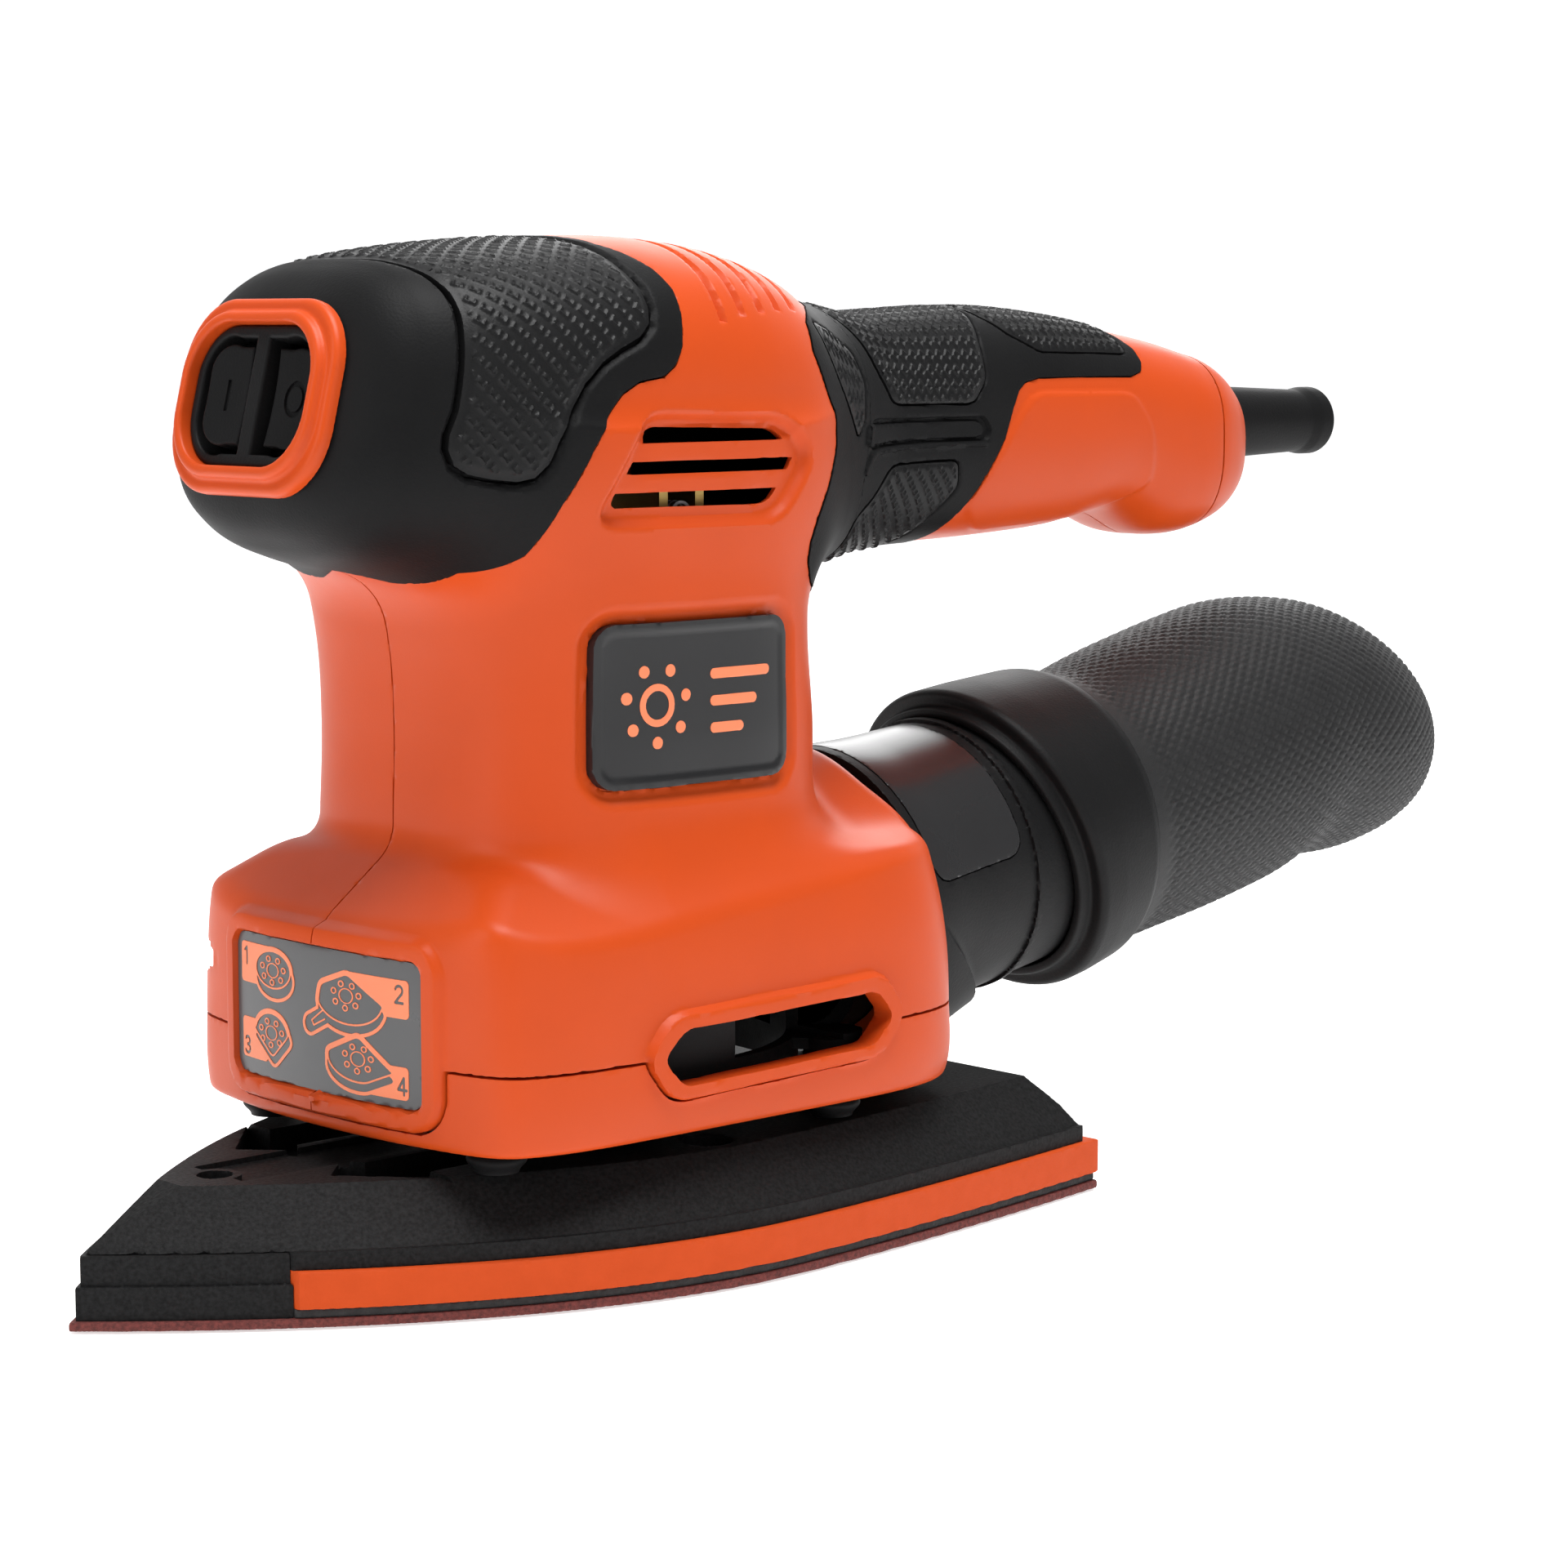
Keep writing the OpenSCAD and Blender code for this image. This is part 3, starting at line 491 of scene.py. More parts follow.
head = loft_x([
    (-63.5, 148.1, 20.5, 15.8, 3.2, 14), (-61.0, 147.7, 25.5, 19.5, 3.0, 14),
    (-56.0, 146.8, 30.5, 23.4, 2.9, 12), (-49.0, 145.8, 34.0, 25.6, 2.8, 9),
    (-38.0, 145.4, 36.8, 27.2, 2.8, 5), (-20.0, 145.6, 38.6, 28.4, 2.8, 0),
    (0.0, 145.3, 38.8, 29.9, 2.8, 0), (18.0, 143.6, 37.6, 30.0, 2.8, 0),
    (32.0, 141.3, 34.0, 29.0, 2.8, -3), (42.0, 140.9, 28.5, 26.4, 2.6, -6),
    (52.0, 140.6, 22.5, 23.2, 2.5, -4), (62.0, 140.4, 17.5, 19.5, 2.5, 0),
])
handle = loft_x([
    (40.0, 139.6, 21.5, 21.0, 2.5, 0), (54.0, 139.6, 20.5, 21.4, 2.5, 0),
    (74.0, 140.6, 19.2, 21.6, 2.5, 0), (98.0, 141.4, 18.8, 21.6, 2.5, 0),
    (117.0, 141.3, 18.8, 20.2, 2.5, 0), (132.0, 141.3, 18.8, 17.9, 2.6, 0),
    (146.0, 137.6, 19.0, 19.2, 2.7, 0), (153.0, 136.7, 18.8, 18.5, 2.7, 0),
    (159.0, 136.6, 17.8, 17.2, 2.7, 0), (165.0, 136.2, 15.4, 14.8, 2.6, 0),
    (170.0, 136.0, 11.8, 11.6, 2.5, 0), (174.5, 135.6, 6.0, 6.5, 2.3, 0),
])
column = loft_z([
    (50, -39, 43, 42.0, 3.6), (58, -38.8, 42, 41.0, 3.5), (64, -38.5, 41, 40.0, 3.4),
    (70, -38.2, 40, 38.8, 3.2), (78, -38, 39, 37.8, 3.2), (92, -37.6, 38.6, 37.6, 3.2),
    (106, -38.4, 37.4, 37.6, 3.2), (114, -40, 37.4, 37.8, 3.2), (122, -43, 37.4, 38, 3.2),
    (132, -46, 37.4, 38, 3.2), (142, -46, 37.4, 38, 3.2),
])
lower = loft_z([
    (20, -55.6, 60.4, 46.2, 5.2), (26, -56, 61, 46.6, 5.2), (29, -56.2, 61.4, 47.4, 5.2),
    (40, -56.2, 61.4, 47.6, 5.2), (50, -55.6, 61, 47.3, 5.2), (57, -55, 60, 46.8, 5.2),
    (66, -53.5, 58, 45.4, 5.2), (76, -51.5, 55, 43, 5.2),
])


def lower_front(x, y, z):
    """The base part cut to its slightly bulging front."""
    return blend_max(lower(x, y, z), -(x + 54.6 - 0.0033 * y**2), 3.0)


def lower_body(x, y, z):
    """The base part of the housing, with its sloping shoulder and bulging front."""
    shoulder = (z - 68.5 - 0.16 * (44 - np.abs(y))) * 0.98
    body = blend_max(lower_front(x, y, z), shoulder, 2.6)
    flank = (z - 62.3 - 0.09 * x - 0.72 * (47.3 - np.abs(y))) / 1.24
    body = blend_max(body, flank, 1.6)
    return blend_max(body, (z - 58.6 - 0.78 * (x + 56)) / 1.27, 3.0)


def form(x, y, z):
    """The plain outer form of the whole housing."""
    top = blend_max(head(x, y, z), face_coords(x, y, z)[2], 3.0)
    top = blend_max(top, x - 60, 6.0)
    grip = blend_max(blend_max(handle(x, y, z), x - 175.5, 3.0), 44 - x, 4.0)
    top = blend_min(top, grip, 6.0)
    post = np.maximum(column(x, y, z), np.maximum(50 - z, z - 140))
    top = blend_min(top, post, 9.0)
    along, across, up = port_coords(x, y, z)
    arch = blend_max(np.hypot(across, up) - 31.5, along + 3.5, 4.0)
    arch = np.maximum(arch, -along - 45)
    base = blend_min(lower_body(x, y, z), arch, 6.0)
    body = blend_min(top, base, 3.0 + 5.5 * np.clip((x + 38) / 24, 0, 1))
    return blend_max(body, 26 - z, 1.5)


# Outlines in x and degrees round the head or the handle
nose_zone = flat_shape(arc_outline([
    (-90, -130), (-50, -130), (-50, -90), (-44.7, -69), (-42.3, -44), (-35.7, -32), (-31.8, -18),
    (-29.2, -11.5), (-26.2, -3.8), (-23.3, 2.8), (-19.6, 8.4), (-15.9, 11.2), (-10.7, 12.3),
    (-8.0, 14.9), (-6.2, 19), (-4.8, 27), (-4.3, 33.7), (-5.6, 41.2), (-7.8, 48.7), (-9.5, 55.9),
    (-10.5, 75), (-10.8, 90), (-10.8, 130), (-90, 130),
]), spacing=0.5)
palm_zone = flat_shape(arc_outline([
    (-48.4, 130), (-48.4, 76), (-48.1, 60.7), (-47, 48.1), (-46.5, 38.9), (-46.9, 31.2),
    (-47.9, 23.2), (-49, 14.1), (-50.1, 5.6), (-51.7, -0.9), (-51.9, -5.1), (-50.8, -9.8),
    (-48.2, -12.2), (-44.2, -13.2), (-39.7, -13.6), (-36.6, -12.3), (-34.1, -8.5), (-32.3, -2.7),
    (-29.7, 4), (-26.7, 10.2), (-22.9, 15.2), (-19, 18.2), (-14.5, 20.9), (-11.8, 24.3),
    (-10.8, 28.7), (-10.6, 34.4), (-11.5, 41.6), (-12, 49.6), (-12.6, 62), (-13.5, 80), (-13.5, 130),
]))
collar_front = flat_shape(arc_outline([
    (49, 130), (49, 80), (46.5, 62), (40, 46), (33, 36), (28.8, 29), (27.8, 20), (31.2, 9),
    (33.7, 0.6), (33.5, -7.2), (30.7, -16.4), (27.6, -24.3), (26.1, -29.9), (26.3, -34.9),
    (29, -40.5), (33.5, -46), (36, -60), (36, -130), (120, -130), (120, 130),
]), spacing=0.5)
collar_rear = flat_shape(arc_outline([
    (-20, 130), (49.8, 130), (49.8, 60), (51.2, 45), (52.6, 30), (52.6, 10), (51.6, -5), (50, -20),
    (49.6, -40), (52, -54), (54, -90), (54, -130), (-20, -130),
]), spacing=0.5)
grip_rear = flat_shape(arc_outline([
    (20, -130), (78, -130), (78.6, -90), (79.7, -70.6), (82, -56.5), (84.7, -43.7), (88.6, -26.9),
    (91.8, -12.4), (94.1, 4.9), (95.9, 14.4), (98, 19), (102, 21.2), (115, 21.6), (128.4, 21.7),
    (131.5, 24.5), (132.6, 30.4), (132.5, 40.2), (131.2, 48), (129, 70), (128, 90), (128, 130),
    (20, 130),
]), spacing=0.5)
pad_zones = {
    "upper": flat_shape(fillet(arc_outline([
        (50.8, 130), (51.5, 60), (55.2, 40), (57, 24), (61, 7), (83.5, 7), (87.4, 20), (88.2, 40),
        (91.5, 66), (92.5, 130),
    ]), 2.5)),
    "top": flat_shape(fillet(arc_outline([
        (91.5, 130), (93.5, 62), (97, 47), (104, 35.6), (129.5, 35.8), (129, 60), (127, 130),
    ]), 2.0)),
    "lower": flat_shape(fillet(arc_outline([
        (50, -130), (50.5, -52), (50, -40), (54.7, -35.4), (60.5, -22.6), (79.4, -22.8), (80.5, -36),
        (76.5, -48), (71, -70), (70, -130),
    ]), 2.2)),
    "ring": flat_shape(fillet(arc_outline([
        (31.5, 31), (42, 36), (49.6, 31), (51.6, 16), (50, -1), (46.6, -7.5), (42.6, 3.5),
        (36.6, 17),
    ]), 2.0)),
}
bar_zone = flat_shape(fillet(arc_outline([
    (52.5, -13.6), (87, -13.6), (88, -7), (86, 0.2), (53.5, 0.2),
]), 1.6))
bar_core = flat_shape(fillet(arc_outline([
    (50.5, -11.4), (85.3, -11.4), (86.2, -7), (84.6, -2.2), (51.5, -2.2),
]), 1.2))
ledge = flat_shape(fillet(arc_outline([
    (49.4, -22), (52, -15), (54.5, -13.4), (86.6, -13.8), (86.6, -16), (56, -15.6), (53.6, -17),
    (51.4, -23),
]), 0.6))
panel_zone = flat_shape(fillet(arc_outline([
    (84, -45), (94.5, -4), (100, 13), (128, 12), (133.5, -8), (135.5, -40), (128, -62), (92, -66),
]), 4.0))
# Outlines in x and z on the sides
vent_frame = flat_shape(fillet([
    (-25, 127.6), (-14.8, 145), (17.6, 144.2), (24.6, 138), (15.8, 127.2),
], 4.5))
vent_hole = flat_shape(fillet([
    (-21.6, 130.0), (-13.6, 143.2), (15.6, 142.4), (20.8, 137.8), (14, 129.8),
], 2.2))
window_rim = flat_shape(fillet([
    (-23.8, 40), (-17.6, 47), (31.6, 48.4), (37.2, 41), (30.4, 33.6), (-18, 32.2),
], 3.5))
window_hole = flat_shape(fillet([
    (-20.2, 39.8), (-15.6, 44.3), (29.4, 45.4), (33.4, 40.6), (28.4, 36), (-15.8, 34.8),
], 2.0))
VENT_SLATS = (133.9, 139.0)  # heights of the vents' slats
SEAM_Z = 39.5
BADGE = (-2.0, 97.0, 21.2, 13.8)  # centre and half sizes, in x and z
LABEL = (44.7, 25.6, 12.3)  # height of its centre, and half sizes
LABEL_Y = -1.3
END_SEAM_X = 155.6


def badge_shape(x, z, grow=0.0):
    return round_rect(x - BADGE[0], z - BADGE[1], BADGE[2] + grow, BADGE[3] + grow, 4.0 + grow)


def label_shape(y, z, grow=0.0):
    return round_rect(y - LABEL_Y, z - LABEL[0], LABEL[1] + grow, LABEL[2] + grow, 2.8 + grow)


def front_side(x):
    """Below zero on the front of the base part, where the label is."""
    return x + 44


def soft_step(distance, width):
    """0 outside an outline and 1 inside it, over a width."""
    t = np.clip(0.5 - distance / width, 0, 1)
    return t * t * (3 - 2 * t)


def sculpted(x, y, z):
    """The housing's outer form with its raised and sunken features."""
    f = form(x, y, z)
    a = arc(y, z)
    on_head = (z > 100) & (x < 45)
    on_side = (np.abs(y) > 25) & (x > -40) & (x < 48)
    # Sunken frame round the vents
    vent = np.where(on_side & on_head, vent_frame(x, z), 9)
    f = f + 2.0 * soft_step(vent, 2.6)
    # Soft dish round the badge
    badge = np.where(on_side & (z < 125) & (z > 70), badge_shape(x, z, 2.0), 9)
    f = f + 1.3 * soft_step(badge, 2.6)
    # Raised rim of the window
    rim = np.where(on_side & (z < 60), window_rim(x, z), 9)
    f = f - 1.5 * soft_step(rim, 1.2)
    # Raised frame of the label, and the label's seat
    frame_at = np.where((front_side(x) < 0) & (z < 70), label_shape(y, z, 3.6), 9)
    f = f - 1.5 * soft_step(frame_at, 1.4)
    seat = np.where((front_side(x) < 0) & (z < 70), label_shape(y, z, 0.2), 9)
    f = f + 1.5 * soft_step(seat, 0.5)
    bump = np.where((front_side(x) < 0) & (z < 36), np.hypot(y - LABEL_Y, z - 31.8) - 1.0, 9)
    f = f - 0.9 * soft_step(bump, 0.7)
    # Thin grooves over the head behind the nose
    for i in range(5):
        line = np.abs(x - (5.0 + 5.2 * i) - 0.05 * (a - 22)) - 0.55
        ends = np.maximum((15.5 + 1.0 * i) - a, a - 47)
        groove = np.where((x > 0) & (x < 32) & (z > 140), np.maximum(line, ends), 9)
        f = f + 1.0 * soft_step(groove, 1.0)
    # Shallow raised panel on the handle
    panel = np.where(x > 80, panel_zone(x, a), 9)
    f = f - 0.55 * soft_step(panel, 2.2)
    return f


def rubber_form(x, y, z):
    """The outer form of the soft grips, with grooves round their pads."""
    f = form(x, y, z)
    a = arc(y, z)
    f = f - 0.25
    on_handle = x > 28
    for zone in pad_zones.values():
        d = np.where(on_handle, zone(x, a), 9)
        f = f + 0.9 * soft_step(np.abs(d) - 0.1, 1.1)
    palm = np.where(x < 0, palm_zone(x, a), 9)
    f = f + 0.9 * soft_step(np.abs(palm - 0.3) - 0.3, 1.1)
    bar, core = np.where(on_handle, bar_zone(x, a), 9), np.where(on_handle, bar_core(x, a), 9)
    f = f + 0.9 * soft_step(bar, 0.7) - 0.8 * soft_step(core, 0.7)
    f = f - 0.5 * soft_step(np.where(on_handle, ledge(x, a), 9), 0.7)
    return f


# Half of a seam's width between pieces, and the housing's wall
GAP = 0.22
WALL = 3.0


def nose_area(x, y, z):
    return np.maximum(nose_zone(x, arc(y, z)), np.maximum(106 - z, x))


def collar_area(x, y, z):
    a = arc(y, z)
    return np.maximum(np.maximum(collar_front(x, a), collar_rear(x, a)), 108.5 - z)


def grip_area(x, y, z):
    a = arc(y, z)
    return np.maximum(np.maximum(grip_rear(x, a), -collar_rear(x, a)), np.maximum(40 - x, 108.5 - z))


def upper_only(x, y, z):
    """Below zero above the seam, in the window's rim and in the label's frame."""
    rim = np.where(x > -40, window_rim(x, z), 9)
    frame_at = np.where(x < -40, label_shape(y, z, 3.9), 9)
    return np.minimum(np.minimum(SEAM_Z - z, rim), frame_at)


def openings(x, y, z):
    """Below zero in the vents, the window, the switch's hole and the port."""
    side = 24 - np.abs(y)
    slats = np.max([1.5 - np.abs(z - s) for s in VENT_SLATS], 0)
    vent = np.maximum(np.maximum(vent_hole(x, z), slats), side)
    hole = np.maximum(window_hole(x, z), 36 - np.abs(y))
    across, up, out = face_coords(x, y, z)
    switch = np.maximum(round_rect(across, up, 18.6, 13.6, 10.5), -30 - out)
    along, across, up = port_coords(x, y, z)
    port = np.hypot(across, up)
    port = np.minimum(np.maximum(port - 25.1, -along - 30), np.maximum(port - 29.6, -0.1 - along))
    badge = np.maximum(badge_shape(x, z, 0.2), np.maximum(-1.7 - form(x, y, z), 20 - np.abs(y)))
    return np.min([vent, hole, switch, port, badge], 0)


def screw_holes(x, y, z):
    """Counterbores on the right side, over the housing screws."""
    d = np.full(np.shape(x), 9.0)
    for sx, sy, sz in SCREWS:
        d = np.minimum(d, np.maximum(np.hypot(x - sx, z - sz) - 3.5, sy - y))
    return d


SCREWS = [(x, 8 if x > 50 else 16, z) for x, z in
          [(-46.5, 50), (-29, 122), (29, 119), (0, 164), (72, 130), (146, 128)]]


def housing(side):
    """The field of one half of the upper housing: side -1 is left, 1 is right."""

    def field(x, y, z):
        f = sculpted(x, y, z)
        hollow = form(x, y, z) + WALL
        f = np.maximum(f, -hollow)
        zones = np.min([nose_area(x, y, z), collar_area(x, y, z), grip_area(x, y, z)], 0)
        f = np.maximum(f, GAP - zones)
        f = np.maximum(f, upper_only(x, y, z) + GAP)
        f = np.maximum(f, x - END_SEAM_X + GAP)
        f = np.maximum(f, -openings(x, y, z))
        if side > 0:
            f = np.maximum(f, -screw_holes(x, y, z))
        return np.maximum(f, 0.12 - side * y)

    return field


def skirt(x, y, z):
    f = np.maximum(sculpted(x, y, z), -(lower_front(x, y, z) + WALL))
    f = np.maximum(f, GAP - upper_only(x, y, z))
    f = np.maximum(f, z - SEAM_Z - 3)
    return np.maximum(f, -openings(x, y, z))


def nose(x, y, z):
    f = rubber_form(x, y, z)
    f = np.maximum(f, -(form(x, y, z) + WALL))
    f = np.maximum(f, nose_area(x, y, z))
    palm = np.maximum(palm_zone(x, arc(y, z)) - 0.15, -1.9 - form(x, y, z))
    f = np.maximum(f, -palm)
    return np.maximum(f, -openings(x, y, z))


def dashes(u, v, pitch):
    """Small open squares in rows, 1 on their lines."""
    s, t = (u + v) / math.sqrt(2) / pitch, (u - v) / math.sqrt(2) / pitch
    s, t = s - np.round(s), t - np.round(t)
    line = soft_step(np.abs(np.maximum(np.abs(s), np.abs(t)) - 0.27) * pitch - 0.2, 0.35)
    return line * (s < 0.14)


def diamonds(u, v, pitch):
    """Small diamond rings in rows, 1 on their lines."""
    s, t = u / pitch, v / (pitch * 1.35)
    row = np.round(t)
    s = s - 0.5 * (row % 2)
    s, t = s - np.round(s), t - row
    d = (np.abs(s) + np.abs(t) * 1.0) * pitch * 0.75
    return soft_step(np.abs(d - 0.62) - 0.17, 0.3)


def palm(x, y, z):
    a = arc(y, z)
    d = palm_zone(x, a)
    f = form(x, y, z) - 0.35 * soft_step(d + 1.6, 1.6)
    f = f - 0.26 * dashes(x, a, 2.7) * (d < -1.6)
    f = np.maximum(f, d + 0.5)
    return np.maximum(f, -1.7 - form(x, y, z))


def grip_pad(name):
    zone = pad_zones[name]

    def field(x, y, z):
        a = arc(y, z)
        d = zone(x, a)
        f = form(x, y, z) - 0.25 - 0.25 * soft_step(d + 1.2, 1.4)
        emboss = diamonds(x, a * 0.62, 2.3) if name != "lower" else dashes(x, a * 0.62, 2.3)
        f = f - 0.26 * emboss * (d < -1.1)
        f = np.maximum(f, d + 0.35)
        f = np.maximum(f, np.maximum(108.5 - z, 26 - x))
        return np.maximum(f, -1.3 - form(x, y, z))

    return field


def rubber_bed(area, pads):
    """A grip's rubber with seats for its pads."""

    def field(x, y, z):
        f = np.maximum(rubber_form(x, y, z), area(x, y, z))
        f = np.maximum(f, -(form(x, y, z) + WALL))
        a = arc(y, z)
        for name in pads:
            f = np.maximum(f, -np.maximum(pad_zones[name](x, a) - 0.1, -1.4 - form(x, y, z)))
        return f

    return field


def end_cap(x, y, z):
    f = np.maximum(sculpted(x, y, z), END_SEAM_X + GAP - x)
    f = np.maximum(f, -np.maximum(form(x, y, z) + WALL, x - 168))
    bore = np.hypot(y, z - CABLE_Z)
    f = np.maximum(f, 5.2 - bore)
    return np.maximum(f, -np.maximum(bore - 7.75, 169.4 - x))


CABLE_Z = 140.0
HOUSING_BOX = ((-67, -52, 24), (178, 52, 178))


def half_box(side):
    low, high = [list(c) for c in HOUSING_BOX]
    if side < 0:
        high[1] = 0.5
    else:
        low[1] = -0.5
    return low, high


for side, name in ((-1, "left"), (1, "right")):
    piece(f"shell_{name}", housing(side), *half_box(side), 0.66, "housing", [f"housing_{name}"],
          "orange_plastic", M["orange"])
piece("skirt", skirt, (-62, -52, 24), (62, 52, 44), 0.55, "housing", ["base_skirt"],
      "orange_plastic", M["orange"])
piece("nose", nose, (-70, -42, 108), (0, 42, 178), 0.6, "housing", ["nose_grip"], "grip_rubber", M["rubber"])
piece("palm_rest", palm, (-54, -42, 128), (-8, 42, 178), 0.32, "housing", ["palm_pad"],
      "grip_rubber", M["pad"], coarse=1.4)
piece("collar", rubber_bed(collar_area, ["ring"]), (22, -38, 106), (60, 38, 172), 0.5, "housing",
      ["handle_collar"], "grip_rubber", M["rubber"])
piece("grip", rubber_bed(grip_area, ["upper", "top", "lower"]), (46, -24, 112), (136, 24, 168), 0.5,
      "housing", ["handle_grip"], "grip_rubber", M["rubber"])
for name, span in (("upper", (48, 96)), ("top", (88, 132)), ("lower", (48, 84)), ("ring", (28, 54))):
    piece(f"grip_pad_{name}", grip_pad(name), (span[0], -38, 112), (span[1], 38, 168), 0.3,
          "housing", [], "grip_rubber", M["pad"], coarse=1.4)
piece("handle_cap", end_cap, (154, -22, 114), (178, 22, 160), 0.45, "housing", ["handle_end_cap"],
      "orange_plastic", M["orange"])


# ---------------------------------------------------------------- label and badges
def label_plate(x, y, z):
    f = np.maximum(form(x, y, z) - 0.6, label_shape(y, z, -0.1))
    f = np.maximum(f, front_side(x))
    return np.maximum(f, -form(x, y, z) - 0.9)


def badge(side):
    def field(x, y, z):
        top = form(x, y, z) - 0.1 + 0.25 * soft_step(badge_shape(x, z, -1.6), 1.0)
        f = np.max([top, badge_shape(x, z, 0.0), 20 - side * y], 0)
        return np.maximum(f, -1.6 - form(x, y, z))

    return field


def table_of(shape, low, high, spacing):
    """A 2-D field kept as a table, as a function that reads it."""
    low, high = np.array(low, float), np.array(high, float)
    counts = np.ceil((high - low) / spacing).astype(int) + 1
    return read_table(shape(*table_grid(low, counts, spacing)), low, spacing)


def stroke(u, v, points, half):
    """Distance from a line drawn through the points with a pen."""
    best = np.full(np.shape(u), 1e9)
    for a, b in zip(points[:-1], points[1:]):
        du, dv = b[0] - a[0], b[1] - a[1]
        t = np.clip(((u - a[0]) * du + (v - a[1]) * dv) / (du * du + dv * dv + 1e-9), 0, 1)
        best = np.minimum(best, np.hypot(u - a[0] - t * du, v - a[1] - t * dv))
    return best - half


def bow(cu, cv, r_u, r_v, start, end, n=9):
    """Points along an arc, in degrees."""
    turns = [math.radians(a) for a in np.linspace(start, end, n)]
    return [(cu + r_u * math.cos(a), cv + r_v * math.sin(a)) for a in turns]


NUMERALS = {
    "1": [[(-0.55, 0.95), (0.1, 1.4), (0.1, -1.4)]],
    "2": [bow(0, 0.62, 0.82, 0.78, 165, -35) + [(-0.85, -1.4), (0.9, -1.4)]],
    "3": [bow(-0.05, 0.7, 0.75, 0.7, 150, -90), bow(-0.05, -0.68, 0.85, 0.74, 90, -150)],
    "4": [[(0.35, -1.4), (0.35, 1.4), (-0.95, -0.6), (0.95, -0.6)]],
}
# Shapes of the four bases, seen on the label: across to the viewer's right, and up
BASES = {
    "1": (bow(0, 0.15, 5.6, 3.35, 0, 345, 24), (0.5, -1.5)),
    "2": ([(0.2, 3.9), (9.6, -0.6), *bow(0.6, -0.6, 8.6, 4.3, -20, -165, 12), (-7.0, 1.4)], (0.2, -1.3)),
    "3": ([(0.4, -4.3), *bow(0, -0.4, 5.4, 4.0, 5, 165, 12), (-5.9, 0.2)], (0.6, -1.2)),
    "4": ([(9.0, -1.4), (0.1, 4.0), *bow(0, -0.2, 8.0, 3.9, 165, 285, 10)], (0.0, -1.3)),
}
# Each tag: centre of its base, tab low and high corners, place of its numeral
TAGS = {
    "1": ((12.3, 51.2), (22.6, 48.2), (12.0, 55.2), (20.9, 52.8)),
    "2": ((-8.6, 49.6), (-9.0, 47.4), (-23.8, 53.8), (-21.6, 51.4)),
    "3": ((12.8, 40.4), (22.4, 35.2), (14.0, 42.2), (20.8, 37.3)),
    "4": ((-11.6, 39.4), (-13.5, 33.9), (-23.6, 39.4), (-22.2, 36.2)),
}


def print_shape(y, z):
    """The printed part of the label: tabs, outlines of the bases, rings."""
    out = np.full(np.shape(y), 9.0)
    for key, (centre, low, high, spot) in TAGS.items():
        u, v = centre[0] - y, z - centre[1]
        outline, drop = BASES[key]
        d = flat_shape(fillet(outline, 1.1), 0.12)
        top = d(u, v)
        thick = np.minimum(top, d(u - drop[0], v - drop[1]))
        if key == "2":
            finger = stroke(u, v, [(-5.4, -3.8), (-9.6, -5.8)], 1.5)
            thick = np.minimum(thick, finger)
        tab = round_rect(y - (low[0] + high[0]) / 2, z - (low[1] + high[1]) / 2,
                         abs(low[0] - high[0]) / 2, abs(low[1] - high[1]) / 2, 0.8)
        digit = np.min([stroke(spot[0] - y, z - spot[1], line, 0.24) for line in NUMERALS[key]], 0)
        shape = np.maximum(np.minimum(tab, thick - 0.62), -digit)
        shape = np.maximum(shape, -thick)
        edge = np.maximum(np.abs(top + 0.16) - 0.17, top)
        rings = [np.hypot(u, v * 1.45) - 1.75]
        for i in range(7):
            a = 2 * math.pi * (i + 0.2) / 7
            rings.append(np.hypot(u - 3.35 * math.cos(a), (v - 2.05 * math.sin(a)) * 1.3) - 0.6)
        lines = np.min([np.abs(r) - 0.15 for r in rings], 0)
        if key == "2":
            nail = [(-6.2, -3.2), (-9.2, -5.2), (-8.6, -6.0), (-5.6, -4.6)]
            lines = np.minimum(lines, stroke(u, v, nail, 0.14))
        out = np.min([out, shape, edge, lines], 0)
    return out


label_print = table_of(print_shape, (-28, 31), (26, 59), 0.12)


def label_ink(x, y, z):
    f = np.maximum(form(x, y, z) - 0.72, -form(x, y, z) - 0.1)
    return np.max([f, label_print(y, z), front_side(x)], 0)


def motif_shape(x, z):
    """A plain emblem for the badges: a ring of dots round a disc, and three bars beside it."""
    u, v = x - BADGE[0] + 9.0, z - BADGE[1]
    shape = [np.abs(np.hypot(u, v) - 3.0) - 0.6]
    for i in range(7):
        a = 2 * math.pi * (i + 0.25) / 7
        shape.append(np.hypot(u - 6.3 * math.cos(a), v - 6.3 * math.sin(a)) - 1.05)
    for i, half in enumerate((7.0, 5.4, 3.8)):
        shape.append(round_rect(x - BADGE[0] - 2.0 - half - 0.6, v - 4.6 + 4.6 * i, half, 0.9, 0.88))
    return np.min(shape, 0)


motif = table_of(motif_shape, (-24, 82), (22, 112), 0.15)


def badge_ink(side):
    def field(x, y, z):
        f = form(x, y, z)
        return np.max([f + 0.05, -0.8 - f, motif(x, z), 20 - side * y], 0)

    return field


def side_box(side, xs, ys, zs):
    """Low and high corners of a box, given for the right side."""
    near, far = sorted((side * ys[0], side * ys[1]))
    return (xs[0], near, zs[0]), (xs[1], far, zs[1])


